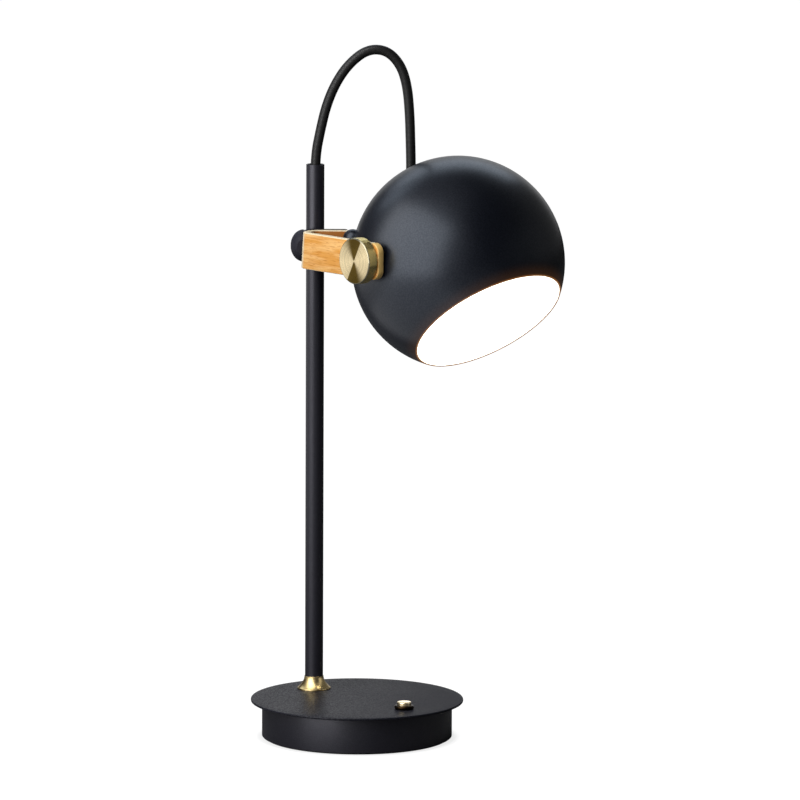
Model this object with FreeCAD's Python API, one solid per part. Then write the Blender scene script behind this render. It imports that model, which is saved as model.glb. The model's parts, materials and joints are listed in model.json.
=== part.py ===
import FreeCAD, Part
import math
import os

# Cordless table lamp: a weighted round base with a push button, a slim pole,
# a ball shade held at its side by a bent bamboo strap and a brass thumb knob,
# and a short braided cord that arches from the pole's top into the shade.
# Millimetres. Origin under the middle of the base, front is -Y, up is +Z.

V = FreeCAD.Vector
UP = V(0, 0, 1)

# Base
pad_radius = 78.3
pad_height = 1.2
drum_radius = 80.5
drum_wall = 1.9
drum_top = 31.0
flange_inner_radius = 72.6
flange_thickness = 1.8
plate_radius = 90.0
plate_thickness = 2.0
plate_top = drum_top + plate_thickness
cover_thickness = 1.5
cover_top = pad_height + cover_thickness
ballast_radius = 75.5
ballast_thickness = 7.5
ballast_top = cover_top + ballast_thickness
stud_circle = 75.3
stud_size = 1.5
cover_screw_circle = 66.0

# Battery, boards and charging socket
cell_radius = 9.1
cell_length = 65.0
cell_pitch = 19.4
cell_middle_y = -3.0
tray_floor = 1.2
tray_wall = 2.0
tray_height = 13.0
socket_width = 8.9
socket_height = 3.2
socket_depth = 7.3
socket_z = 15.2
board_thickness = 1.2
clearance = 0.025

# Pole
pole_y = 57.0
pole_radius = 7.7
pole_bore_radius = 6.5
pole_top = 483.0
plug_height = 22.0
nipple_radius = 5.0
nipple_bore = 3.2
collar_foot_radius = 14.3
collar_height = 11.0
bush_top = pole_top - 1.5
bush_ledge = 472.0
bush_bottom = 464.0
lead_radius = 1.6
lead_bend = 6.0

# Push button
button_y = -61.5
button_travel = 1.0
cap_radius = 6.0
cap_top = 36.6
bezel_radius = 8.4
bezel_top = 34.8
neck_radius = 7.5
stem_radius = 3.0
dome_wall = 0.7

# Clamp on the pole: a round bar that lies across the pole
head_z = 413.8
bar_angle = -40.5
bar_radius = 13.6
bar_left = 20.8
bar_right = 32.5
bar_dome = 11.0
bar_end_round = 10.0
bush_radius = 9.5
bush_bore = pole_radius + 0.06
bush_flange = 10.3
bush_lip = 0.8
spot_depth = 11.8
seat_offset = 11.9
backing_thickness = 2.5
backing_half_height = 15.7
backing_left = -8.6
backing_right = 28.6
backing_corner = 3.0

# Bamboo strap, thumb knob and pivot
strap_thickness = 6.1
strap_height = 30.6
strap_face_x = -30.0
strap_bend_radius = 14.0
strap_front_end_y = -61.0
strap_back_end = 28.0
strap_corner = 8.0
strap_back_corner = 3.0
pivot_y = -41.9
knob_radius = 19.3
knob_thickness = 9.0
stud_radius = 3.0

# Shade
shade_centre = V(67.3, -50.0, 404.8)
shade_radius = 89.8
shade_wall = 1.0
shade_mouth_radius = 66.3
shade_pitch = 49.2
sink_radius = 24.0
sink_front = 58.0
sink_back = 76.0
fin_count = 18
side_cap_radius = 8.5
side_cap_skirt = 1.0
side_cap_azimuth = 137.1
side_cap_elevation = 12.0
side_cap_stem = 3.0

# Braided cord: route in the upright plane through the pole and the gland,
# as (distance from the pole, height)
cord_radius = 4.15
gland_x = 65.8
gland_y = 9.75
gland_reach = math.hypot(gland_x, pole_y - gland_y)
cord_route = [
    (0.0, 472.0), (0.0, 490.0), (4.3, 512.0), (9.0, 532.1), (16.5, 550.7), (27.7, 567.5), (43.4, 580.0),
    (59.7, 579.5), (71.6, 567.6), (77.5, 549.8), (79.8, 525.1), (80.6, 499.0), (gland_reach, 484.0),
    (gland_reach, 472.0),
]
cord_splits = (3, 6)

os.makedirs("parts", exist_ok=True)


def save(name, shape):
    if isinstance(shape, list):
        shape = Part.makeCompound(shape)
    shape.exportStep("parts/" + name + ".step")


def cylinder(radius, low, high, x=0.0, y=0.0):
    return Part.makeCylinder(radius, high - low, V(x, y, low), UP)


def ring(outer, inner, low, high, x=0.0, y=0.0):
    return cylinder(outer, low, high, x, y).cut(cylinder(inner, low - 1, high + 1, x, y))


def hexagon(across_flats, low, high, x=0.0, y=0.0):
    corner = across_flats / math.sqrt(3)
    points = [
        V(x + corner * math.cos(math.radians(60 * i)), y + corner * math.sin(math.radians(60 * i)), low)
        for i in range(7)
    ]
    return Part.Face(Part.makePolygon(points)).extrude(V(0, 0, high - low))


def box(x0, x1, y0, y1, z0, z1):
    return Part.makeBox(x1 - x0, y1 - y0, z1 - z0, V(x0, y0, z0))


def revolve(profile, x=0.0, y=0.0):
    """Turn a closed outline of (radius, height) points about an upright axis."""
    points = [V(x + r, y, z) for r, z in profile]
    face = Part.Face(Part.makePolygon(points + [points[0]]))
    return face.revolve(V(x, y, 0), UP, 360)


def polar(radius, angle):
    return radius * math.cos(math.radians(angle)), radius * math.sin(math.radians(angle))


def foot_pad():
    pad = cylinder(pad_radius, 0, pad_height)
    return pad.makeChamfer(0.4, [e for e in pad.Edges if e.BoundBox.ZMax < 0.01])


def cover_screw_places():
    return [polar(cover_screw_circle, 45 + 90 * i) for i in range(4)]


def bottom_cover():
    cover = cylinder(pad_radius, pad_height, cover_top)
    for x, y in cover_screw_places():
        cover = cover.cut(Part.makeCone(3.1, 1.65, cover_thickness, V(x, y, pad_height), UP))
    return cover


def cover_screws():
    screws = []
    for x, y in cover_screw_places():
        head = Part.makeCone(3.0, 1.6, cover_thickness - 0.05, V(x, y, pad_height + 0.02), UP)
        shank = cylinder(1.5, pad_height + 1.0, cover_top + 6.0, x, y)
        screws.append(head.fuse(shank).removeSplitter())
    return screws


def ballast():
    disc = cylinder(ballast_radius, cover_top, ballast_top)
    disc = disc.makeChamfer(1.5, disc.Edges)
    for x, y in cover_screw_places():
        disc = disc.cut(cylinder(1.5 + clearance, cover_top - 1, cover_top + 6.3, x, y))
    return disc


def socket_outline(width, height, y):
    """Rounded slot in an upright plane, its ends full half circles."""
    half = width / 2 - height / 2
    top = socket_z + height / 2
    low = socket_z - height / 2
    edges = [
        Part.LineSegment(V(-half, y, top), V(half, y, top)).toShape(),
        Part.Arc(V(half, y, top), V(width / 2, y, socket_z), V(half, y, low)).toShape(),
        Part.LineSegment(V(half, y, low), V(-half, y, low)).toShape(),
        Part.Arc(V(-half, y, low), V(-width / 2, y, socket_z), V(-half, y, top)).toShape(),
    ]
    return Part.Face(Part.Wire(edges))


def stud_places():
    return [polar(stud_circle, 120 * i) for i in range(3)]


def base_drum():
    inner = drum_radius - drum_wall
    profile = [
        (drum_radius, pad_height), (drum_radius, drum_top - 0.8), (drum_radius - 0.8, drum_top),
        (flange_inner_radius, drum_top), (flange_inner_radius, drum_top - flange_thickness),
        (inner, drum_top - flange_thickness), (inner, pad_height),
    ]
    drum = revolve(profile)
    for x, y in stud_places():
        drum = drum.cut(cylinder(stud_size + 0.15, drum_top - 5, drum_top + 1, x, y))
    slot = socket_outline(socket_width + 0.6, socket_height + 0.6, inner - 3)
    return drum.cut(slot.extrude(V(0, 10, 0)))


def base_plate():
    plate = cylinder(plate_radius, drum_top, plate_top)
    plate = plate.makeFillet(0.7, plate.Edges)
    plate = plate.cut(cylinder(nipple_radius + 0.1, drum_top - 1, plate_top + 1, 0, pole_y))
    return plate.cut(cylinder(neck_radius + 0.1, drum_top - 1, plate_top + 1, 0, button_y))


def plate_studs():
    return [cylinder(stud_size, drum_top - 6.5, drum_top, x, y) for x, y in stud_places()]


def plate_nuts():
    top = drum_top - flange_thickness
    nuts = []
    for x, y in stud_places():
        nut = hexagon(5.5, top - 2.4, top, x, y)
        nuts.append(nut.cut(cylinder(stud_size + clearance, 0, 40, x, y)))
    return nuts


def cell_rows():
    return [cell_middle_y - cell_pitch / 2, cell_middle_y + cell_pitch / 2]


def battery_cells():
    z = ballast_top + tray_floor + cell_radius + 0.05
    cells = []
    for y in cell_rows():
        can = Part.makeCylinder(cell_radius, cell_length, V(-cell_length / 2, y, z), V(1, 0, 0))
        can = can.makeChamfer(0.6, [e for e in can.Edges if len(e.Vertexes) == 1])
        button = Part.makeCylinder(3.0, 0.3, V(cell_length / 2, y, z), V(1, 0, 0))
        cells.append(can.fuse(button).removeSplitter())
    return cells


def battery_tray():
    half_x = cell_length / 2 + 1.0 + tray_wall
    half_y = cell_pitch / 2 + cell_radius + 0.3 + tray_wall
    front = cell_middle_y - half_y
    back = cell_middle_y + half_y
    outer = box(-half_x, half_x, front, back, ballast_top, ballast_top + tray_height)
    inner = box(
        -half_x + tray_wall, half_x - tray_wall, front + tray_wall, back - tray_wall,
        ballast_top + tray_floor, ballast_top + tray_height + 1,
    )
    tray = outer.cut(inner)
    upright = [e for e in tray.Edges if e.BoundBox.ZLength > tray_height - 0.1]
    return tray.makeFillet(1.5, upright)


def cell_contacts():
    z = ballast_top + tray_floor + cell_radius
    contacts = []
    for y in cell_rows():
        contacts.append(box(-cell_length / 2 - 0.9, -cell_length / 2 - 0.1, y - 5, y + 5, z - 4, z + 2))
        contacts.append(box(cell_length / 2 + 0.4, cell_length / 2 + 0.9, y - 5, y + 5, z - 4, z + 2))
    return contacts


def charging_board():
    low = socket_z - socket_height / 2 - board_thickness
    return box(-10, 10, 50, drum_radius - drum_wall - 2.5, low, low + board_thickness)


def board_feet():
    low_board = socket_z - socket_height / 2 - board_thickness
    feet = [cylinder(2.2, ballast_top, low_board, x, y) for x in (-7.5, 7.5) for y in (53, 70)]
    high_board = switch_board_low()
    feet += [cylinder(2.2, ballast_top, high_board, x, button_y + y) for x in (-13, 13) for y in (-8, 8)]
    return feet


def charging_socket():
    front = math.sqrt(drum_radius ** 2 - (socket_width / 2) ** 2) - 0.2
    shell = socket_outline(socket_width, socket_height, front - socket_depth).extrude(V(0, socket_depth, 0))
    mouth = socket_outline(socket_width - 0.7, socket_height - 0.7, front - socket_depth + 1.0)
    shell = shell.cut(mouth.extrude(V(0, socket_depth, 0)))
    tongue = box(-3.3, 3.3, front - socket_depth + 0.9, front - 1.2, socket_z - 0.35, socket_z + 0.35)
    return shell.fuse(tongue).removeSplitter()


def switch_board_low():
    return plate_top - 14.5


def switch_board():
    low = switch_board_low()
    return box(-17, 17, button_y - 12, button_y + 12, low, low + board_thickness)


def tact_switch():
    low = switch_board_low() + board_thickness
    body = box(-3, 3, button_y - 3, button_y + 3, low, low + 3.4)
    return body.fuse(cylinder(1.7, low + 3.4, low + 4.1, 0, button_y)).removeSplitter()


def button_levels():
    """Heights of the button's parts: stem end, clip, neck end, dome ledge, cap underside."""
    stem_end = switch_board_low() + board_thickness + 4.1 + button_travel + 0.1
    clip_low = stem_end + 0.6
    neck_end = clip_low + 0.7
    return stem_end, clip_low, neck_end, neck_end + 1.8, plate_top - 1.2


def button_bezel():
    stem_end, clip_low, neck_end, ledge, cap_low = button_levels()
    profile = [
        (stem_radius + 0.1, neck_end), (neck_radius, neck_end), (neck_radius, plate_top),
        (bezel_radius, plate_top), (bezel_radius, plate_top + 0.9), (bezel_radius - 0.9, bezel_top),
        (cap_radius + 0.15, bezel_top), (cap_radius + 0.15, ledge), (stem_radius + 0.1, ledge),
    ]
    return revolve(profile, 0, button_y)


def bezel_nut():
    nut = hexagon(18.0, drum_top - 2.5, drum_top, 0, button_y)
    return nut.cut(cylinder(neck_radius + clearance, 0, 40, 0, button_y))


def button_cap():
    stem_end, clip_low, neck_end, ledge, cap_low = button_levels()
    crown = cylinder(cap_radius, cap_low, cap_top, 0, button_y)
    crown = crown.makeFillet(1.0, [e for e in crown.Edges if e.BoundBox.ZMin > cap_top - 0.01])
    stem = cylinder(stem_radius, stem_end, cap_low, 0, button_y)
    groove = ring(stem_radius + 1, stem_radius - 0.5, clip_low, clip_low + 0.65, 0, button_y)
    return crown.fuse(stem).cut(groove).removeSplitter()


def button_clip():
    stem_end, clip_low, neck_end, ledge, cap_low = button_levels()
    clip = ring(stem_radius + 1.6, stem_radius - 0.45, clip_low + 0.02, clip_low + 0.62, 0, button_y)
    return clip.cut(box(-1.8, 1.8, button_y - 6, button_y, clip_low - 1, clip_low + 2))


def button_dome():
    """Silicone return dome: a thin cone between the ring's ledge and the cap."""
    stem_end, clip_low, neck_end, ledge, cap_low = button_levels()
    inner = stem_radius + 0.25
    outer = cap_radius - 0.35
    profile = [
        (outer - dome_wall, ledge), (outer, ledge), (outer, ledge + 0.5),
        (inner + dome_wall, cap_low - 0.6), (inner + dome_wall, cap_low), (inner, cap_low),
        (inner, cap_low - 0.8), (outer - dome_wall, ledge + 0.3),
    ]
    return revolve(profile, 0, button_y)


def pole_tube():
    tube = ring(pole_radius, pole_bore_radius, plate_top, pole_top, 0, pole_y)
    return tube.makeChamfer(0.3, [e for e in tube.Edges if e.BoundBox.ZMin > pole_top - 0.01])


def pole_plug():
    top = plate_top + plug_height
    return ring(pole_bore_radius - clearance, nipple_radius + clearance, plate_top, top, 0, pole_y)


def pole_nipple():
    return ring(nipple_radius, nipple_bore, drum_top - 10.5, plate_top + plug_height - 2, 0, pole_y)


def pole_washer():
    return ring(12.0, nipple_radius + 0.1, drum_top - 1.5, drum_top, 0, pole_y)


def pole_nut():
    nut = hexagon(16.0, drum_top - 7.5, drum_top - 1.5, 0, pole_y)
    return nut.cut(cylinder(nipple_radius + clearance, 0, 40, 0, pole_y))


def foot_collar():
    """Trumpet collar: a small foot bead, then a hollow flare up to a thin neck."""
    bore = pole_radius + 0.08
    neck = pole_radius + 0.9
    low = plate_top
    bead = low + 1.6
    top = low + collar_height
    waist = V(neck + 1.5, 0, low + 4.6)
    flare = Part.Arc(V(collar_foot_radius - 0.5, 0, bead), waist, V(neck, 0, top - 0.4))
    edges = [
        Part.LineSegment(V(bore, 0, low), V(collar_foot_radius, 0, low)).toShape(),
        Part.LineSegment(V(collar_foot_radius, 0, low), V(collar_foot_radius, 0, bead - 0.5)).toShape(),
        Part.LineSegment(V(collar_foot_radius, 0, bead - 0.5), V(collar_foot_radius - 0.5, 0, bead)).toShape(),
        flare.toShape(),
        Part.LineSegment(V(neck, 0, top - 0.4), V(neck - 0.4, 0, top)).toShape(),
        Part.LineSegment(V(neck - 0.4, 0, top), V(bore, 0, top)).toShape(),
        Part.LineSegment(V(bore, 0, top), V(bore, 0, low)).toShape(),
    ]
    collar = Part.Face(Part.Wire(edges)).revolve(V(0, 0, 0), UP, 360)
    collar.translate(V(0, pole_y, 0))
    return collar


def top_bush():
    outer = pole_bore_radius - clearance
    profile = [
        (lead_radius + 0.1, bush_bottom), (outer, bush_bottom), (outer, bush_top - 0.4),
        (outer - 0.4, bush_top), (cord_radius + 0.5, bush_top), (cord_radius + 0.1, bush_top - 0.4),
        (cord_radius + 0.1, bush_ledge), (lead_radius + 0.1, bush_ledge),
    ]
    return revolve(profile, 0, pole_y)


def tube_along(path, radius, start, direction):
    section = Part.Wire(Part.makeCircle(radius, start, direction))
    return path.makePipeShell([section], True, False)


def pole_lead():
    """Two-core lead inside the pole, turned towards the battery under the nipple."""
    level = drum_top - 15.0
    low = level + lead_bend
    middle = lead_bend * (1 - math.sqrt(0.5))
    top = V(0, pole_y, bush_ledge)
    edges = [
        Part.LineSegment(top, V(0, pole_y, low)).toShape(),
        Part.Arc(
            V(0, pole_y, low), V(0, pole_y - middle, level + middle), V(0, pole_y - lead_bend, level)
        ).toShape(),
        Part.LineSegment(V(0, pole_y - lead_bend, level), V(0, 32, level)).toShape(),
    ]
    return tube_along(Part.Wire(edges), lead_radius, top, V(0, 0, -1))


def lead_connector():
    plug = box(-4.5, 4.5, 25, 32, ballast_top, ballast_top + 9)
    return plug.makeFillet(0.8, [e for e in plug.Edges if e.BoundBox.ZLength > 8])


def bar_along():
    return V(math.cos(math.radians(bar_angle)), math.sin(math.radians(bar_angle)), 0)


def bar_front():
    return V(math.sin(math.radians(bar_angle)), -math.cos(math.radians(bar_angle)), 0)


def bar_point(along, front, up=0.0):
    """A point from its distances along the clamp's bar, in front of the pole and above the bar."""
    return V(0, pole_y, head_z) + bar_along() * along + bar_front() * front + UP * up


def rounded_slab(left, right, near, far, half_height, corner):
    """Upright slab in the bar's own directions, its four corners rounded."""
    points = [
        bar_point(left, near, -half_height), bar_point(right, near, -half_height),
        bar_point(right, near, half_height), bar_point(left, near, half_height),
    ]
    slab = Part.Face(Part.makePolygon(points + [points[0]])).extrude(bar_front() * (far - near))
    across = [e for e in slab.Edges if abs(e.Length - (far - near)) < 1e-6]
    return slab.makeFillet(corner, across)


def clamp_bar_blank():
    """Round bar with an elliptic dome at its free end and a rounded end beside the ball."""
    low = V(0, 0, -bar_left)
    side = V(bar_radius, 0, bar_dome - bar_left)
    shoulder = V(bar_radius, 0, bar_right - bar_end_round)
    end = V(bar_radius - bar_end_round, 0, bar_right)
    top = V(0, 0, bar_right)
    slant = bar_end_round * math.sqrt(0.5)
    middle = V(end.x + slant, 0, shoulder.z + slant)
    ellipse = Part.Ellipse(side, low, V(0, 0, side.z))
    edges = [
        Part.ArcOfEllipse(ellipse, 0, math.pi / 2).toShape(),
        Part.LineSegment(side, shoulder).toShape(),
        Part.Arc(shoulder, middle, end).toShape(),
        Part.LineSegment(end, top).toShape(),
        Part.LineSegment(top, low).toShape(),
    ]
    bar = Part.Face(Part.Wire(Part.__sortEdges__(edges))).revolve(V(0, 0, 0), UP, 360)
    bar.Placement = FreeCAD.Placement(bar_point(0, 0), FreeCAD.Rotation(UP, bar_along()))
    return bar


def clamp_bar():
    bar = clamp_bar_blank()
    bar = bar.cut(rounded_slab(-60, 60, seat_offset, 30, 30, 1))
    bar = bar.cut(cylinder(bush_radius + 0.05, head_z - 40, head_z + 40, 0, pole_y))
    spot = cylinder(bush_flange + 0.3, head_z + spot_depth, head_z + 30, 0, pole_y)
    bar = bar.cut(spot)
    bar = bar.cut(cylinder(bush_flange + 0.3, head_z - 30, head_z - spot_depth, 0, pole_y))
    bar = bar.cut(Part.makeCylinder(2.0 + clearance, 20, bar_point(-bar_left - 5, 0), bar_along()))
    for along in strap_screw_places():
        bar = bar.cut(Part.makeCylinder(2.0 + clearance, 12, bar_point(along, 2.0), bar_front()))
    return bar


def clamp_bush():
    top = head_z + spot_depth + 0.05
    low = head_z - spot_depth - 0.05
    profile = [
        (bush_bore, low - bush_lip), (bush_flange, low - bush_lip), (bush_flange, low), (bush_radius, low),
        (bush_radius, top), (bush_flange, top), (bush_flange, top + bush_lip), (bush_bore, top + bush_lip),
    ]
    return revolve(profile, 0, pole_y)


def grub_screw():
    start = bar_point(-bar_left + 1.2, 0)
    length = bar_left - 1.2 - bush_radius - 0.3
    screw = Part.makeCylinder(2.0, length, start, bar_along())
    socket = Part.makeCylinder(1.1, 2.2, start - bar_along() * 0.2, bar_along())
    return screw.cut(socket)


def strap_screw_places():
    return [12.3, 20.2]


def backing_plate():
    plate = rounded_slab(
        backing_left, backing_right, seat_offset, seat_offset + backing_thickness,
        backing_half_height, backing_corner,
    )
    for along in strap_screw_places():
        plate = plate.cut(Part.makeCylinder(2.1, 20, bar_point(along, 5), bar_front()))
    return plate


def strap_bend_centre():
    """Where the bend is centred: touching the front leg's line and the backing plate."""
    x = strap_face_x + strap_bend_radius
    front = seat_offset + backing_thickness + strap_bend_radius
    side = bar_front()
    return V(x, pole_y + (front - side.x * x) / side.y, 0)


def strap_outline():
    """Plan of the strap at one height: front leg, bend and back leg."""
    centre = strap_bend_centre()
    inner = strap_bend_radius - strap_thickness
    left = V(-1, 0, 0)
    back = bar_front() * -1
    middle = (left + back).normalize()
    along = (centre - V(0, pole_y, 0)).dot(bar_along())
    reach = bar_along() * (strap_back_end - along)
    front_out = V(strap_face_x, strap_front_end_y, 0)
    front_in = V(strap_face_x + strap_thickness, strap_front_end_y, 0)
    out_a = centre + left * strap_bend_radius
    out_b = centre + back * strap_bend_radius
    in_a = centre + left * inner
    in_b = centre + back * inner
    edges = [
        Part.LineSegment(front_out, out_a).toShape(),
        Part.Arc(out_a, centre + middle * strap_bend_radius, out_b).toShape(),
        Part.LineSegment(out_b, out_b + reach).toShape(),
        Part.LineSegment(out_b + reach, in_b + reach).toShape(),
        Part.LineSegment(in_b + reach, in_b).toShape(),
        Part.Arc(in_b, centre + middle * inner, in_a).toShape(),
        Part.LineSegment(in_a, front_in).toShape(),
        Part.LineSegment(front_in, front_out).toShape(),
    ]
    return Part.Face(Part.Wire(edges))


def bamboo_strap():
    face = strap_outline()
    face.translate(V(0, 0, head_z - strap_height / 2))
    strap = face.extrude(V(0, 0, strap_height))
    corners = [e for e in strap.Edges if abs(e.Length - strap_thickness) < 1e-4]
    front = [e for e in corners if e.CenterOfMass.y < pivot_y]
    strap = strap.makeFillet(strap_corner, front)
    corners = [e for e in strap.Edges if abs(e.Length - strap_thickness) < 1e-4]
    edge = strap_height / 2 - 1e-3
    back = [e for e in corners if e.CenterOfMass.y > 0 and abs(e.CenterOfMass.z - head_z) > edge]
    strap = strap.makeFillet(strap_back_corner, back)
    pivot = Part.makeCylinder(4.5, 20, V(strap_face_x - 5, pivot_y, head_z), V(1, 0, 0))
    strap = strap.cut(pivot)
    for along in strap_screw_places():
        hole = Part.makeCylinder(2.1, 20, bar_point(along, 10), bar_front())
        strap = strap.cut(hole)
    return strap


def strap_screws():
    inner_face = seat_offset + backing_thickness + strap_thickness
    screws = []
    for along in strap_screw_places():
        shank = Part.makeCylinder(2.0, inner_face - 3.0, bar_point(along, 3.0), bar_front())
        head = Part.makeCylinder(3.7, 2.4, bar_point(along, inner_face), bar_front())
        crown = bar_point(along, inner_face + 2.4)
        rim = [e for e in head.Edges if e.CenterOfMass.sub(crown).Length < 1e-3]
        head = head.makeFillet(1.2, rim)
        socket = Part.makeCylinder(1.3, 2.0, bar_point(along, inner_face + 1.2), bar_front())
        screws.append(head.fuse(shank).removeSplitter().cut(socket))
    return screws


def along_x(radius, low, high):
    return Part.makeCylinder(radius, high - low, V(low, pivot_y, head_z), V(1, 0, 0))


def ring_x(outer, inner, low, high):
    return along_x(outer, low, high).cut(along_x(inner, low - 1, high + 1))


def pivot_sleeve():
    return ring_x(4.5 - clearance, stud_radius + 0.05, strap_face_x, strap_face_x + strap_thickness)


def knob_washer():
    return ring_x(11.0, stud_radius + 0.1, strap_face_x - 0.6, strap_face_x)


def friction_washer():
    low = strap_face_x + strap_thickness
    return ring_x(11.0, stud_radius + 0.1, low, low + 0.75)


def thumb_knob():
    high = strap_face_x - 0.65
    low = high - knob_thickness
    knob = along_x(knob_radius, low, high)
    rims = [e for e in knob.Edges if len(e.Vertexes) == 1]
    knob = knob.makeChamfer(0.7, rims)
    return knob.cut(along_x(stud_radius + clearance, low + 2.5, high + 1))


def knob_stud():
    high = strap_face_x - 0.65
    return along_x(stud_radius, high - knob_thickness + 2.6, strap_face_x + strap_thickness + 13.0)


def boss_face_x():
    return strap_face_x + strap_thickness + 0.8


def pivot_boss():
    """Spacer seated on the ball, with a neck that goes through the shell."""
    ball = Part.makeSphere(shade_radius + 0.02, shade_centre)
    low = boss_face_x()
    flange = along_x(11.0, low, low + 6).cut(ball)
    neck = along_x(6.5, low, low + 6)
    return flange.fuse(neck).cut(along_x(stud_radius + 0.06, low - 1, low + 8)).removeSplitter()


def pivot_dish():
    """Dished washer against the inside of the ball."""
    inside = Part.makeSphere(shade_radius - shade_wall - 0.03, shade_centre)
    low = boss_face_x() + 1.0
    dish = along_x(12.0, low, low + 6.0).common(inside)
    return dish.cut(along_x(6.6, low - 1, low + 9))


def pivot_nut():
    low = boss_face_x() + 7.1
    corner = 17.0 / math.sqrt(3)
    points = []
    for i in range(7):
        y, z = polar(corner, 60 * i)
        points.append(V(low, pivot_y + y, head_z + z))
    nut = Part.Face(Part.makePolygon(points)).extrude(V(4.5, 0, 0))
    return nut.cut(along_x(stud_radius + 0.06, low - 1, low + 6))


def shade_axis():
    return V(0, -math.cos(math.radians(shade_pitch)), -math.sin(math.radians(shade_pitch)))


def shade_point(behind):
    """A point on the shade's axis, so far behind the ball's centre."""
    return shade_centre - shade_axis() * behind


def gland_place():
    """Where the gland's upright axis meets the ball, next to the ball's rear pole."""
    x = gland_x - shade_centre.x
    y = gland_y - shade_centre.y
    return V(gland_x, gland_y, shade_centre.z + math.sqrt(shade_radius ** 2 - x ** 2 - y ** 2))


def shade_shell():
    mouth = math.sqrt(shade_radius ** 2 - shade_mouth_radius ** 2)
    shell = Part.makeSphere(shade_radius, shade_centre)
    shell = shell.cut(Part.makeSphere(shade_radius - shade_wall, shade_centre))
    front = shade_point(-mouth)
    shell = shell.cut(Part.makeCylinder(100, 60, front, shade_axis()))
    shell = shell.cut(along_x(6.6, boss_face_x() - 5, boss_face_x() + 20))
    shell = shell.cut(on_side_cap_axis(cylinder(side_cap_stem + 0.1, shade_radius - 10, shade_radius + 10)))
    hole = gland_place()
    return shell.cut(cylinder(5.7, hole.z - 30, hole.z + 30, hole.x, hole.y))


def from_ball_centre(shape, direction):
    """Turn a shape built upright about the origin onto a direction from the ball's centre."""
    shape.Placement = FreeCAD.Placement(shade_centre, FreeCAD.Rotation(UP, direction))
    return shape


def on_shade_axis(shape):
    """Put a shape on the shade's axis, its top to the rear."""
    return from_ball_centre(shape, shade_axis() * -1)


def on_side_cap_axis(shape):
    """Put a shape on the side cap's axis, its top outwards."""
    x, y = polar(math.cos(math.radians(side_cap_elevation)), side_cap_azimuth)
    return from_ball_centre(shape, V(x, y, math.sin(math.radians(side_cap_elevation))))


def side_cap():
    """Domed cap seated on the ball between the strap's legs, with a threaded stem."""
    middle = shade_radius + side_cap_skirt
    low = shade_radius - 2
    crown = V(0, 0, middle + side_cap_radius)
    shoulder = V(side_cap_radius, 0, middle)
    slant = side_cap_radius * math.sqrt(0.5)
    edges = [
        Part.Arc(crown, V(slant, 0, middle + slant), shoulder).toShape(),
        Part.LineSegment(shoulder, V(side_cap_radius, 0, low)).toShape(),
        Part.LineSegment(V(side_cap_radius, 0, low), V(0, 0, low)).toShape(),
        Part.LineSegment(V(0, 0, low), crown).toShape(),
    ]
    cap = Part.Face(Part.Wire(edges)).revolve(V(0, 0, 0), UP, 360)
    cap = cap.cut(Part.makeSphere(shade_radius + 0.02))
    stem = cylinder(side_cap_stem, shade_radius - 8.0, middle)
    return on_side_cap_axis(cap.fuse(stem).removeSplitter())


def side_cap_nut():
    """Nut on the cap's stem, its face shaped to the inside of the ball."""
    nut = hexagon(10.0, shade_radius - 6.5, shade_radius)
    nut = nut.common(Part.makeSphere(shade_radius - shade_wall - 0.03))
    return on_side_cap_axis(nut.cut(cylinder(side_cap_stem + clearance, shade_radius - 20, shade_radius)))


def heat_sink():
    """Finned aluminium block behind the lamps, with a hub that takes the gland's thread."""
    sink = cylinder(sink_radius, sink_front, sink_front + 4).fuse(cylinder(9.0, sink_front, sink_back))
    for i in range(fin_count):
        fin = box(8.5, sink_radius - 1.0, -0.6, 0.6, sink_front + 3.5, sink_back - 4)
        sink = sink.fuse(fin.rotated(V(0, 0, 0), UP, 360.0 * i / fin_count))
    sink = on_shade_axis(sink.removeSplitter())
    hole = gland_place()
    hub = cylinder(9.0, hole.z - 24, hole.z + 10, hole.x, hole.y)
    hub = hub.common(Part.makeSphere(shade_radius - shade_wall - 0.05, shade_centre))
    sink = sink.fuse(hub)
    return sink.cut(cylinder(5.6 + clearance, hole.z - 14, hole.z + 20, hole.x, hole.y)).removeSplitter()


def lamp_board():
    return on_shade_axis(cylinder(sink_radius - 1, sink_front - 1.2, sink_front))


def lamp_chips():
    chips = []
    high = sink_front - 1.2
    for count, radius in ((4, 6.0), (8, 14.5)):
        for i in range(count):
            x, y = polar(radius, 360.0 * i / count)
            chips.append(on_shade_axis(cylinder(1.7, high - 0.8, high, x, y)))
    return chips


def dome_middle(radius, rise, crown):
    """Half-way point of an arc centred on the axis, from its crown out to the radius."""
    curve = (radius ** 2 + rise ** 2) / (2 * rise)
    half = math.asin(radius / curve) / 2
    return V(curve * math.sin(half), 0, crown + curve * (1 - math.cos(half)))


def diffuser():
    """Opal cap over the lamps: a skirt round the sink and a shallow dome."""
    inner = sink_radius + 0.1
    outer = inner + 1.5
    rim = sink_front - 5.0
    crown = rim - 9.0
    top = sink_front + 3.5
    edges = [
        Part.LineSegment(V(inner, 0, top), V(outer, 0, top)).toShape(),
        Part.LineSegment(V(outer, 0, top), V(outer, 0, rim)).toShape(),
        Part.Arc(V(outer, 0, rim), dome_middle(outer, 10.5, crown - 1.5), V(0, 0, crown - 1.5)).toShape(),
        Part.LineSegment(V(0, 0, crown - 1.5), V(0, 0, crown)).toShape(),
        Part.Arc(V(0, 0, crown), dome_middle(inner, 9.0, crown), V(inner, 0, rim)).toShape(),
        Part.LineSegment(V(inner, 0, rim), V(inner, 0, top)).toShape(),
    ]
    return on_shade_axis(Part.Face(Part.Wire(edges)).revolve(V(0, 0, 0), UP, 360))


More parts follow.
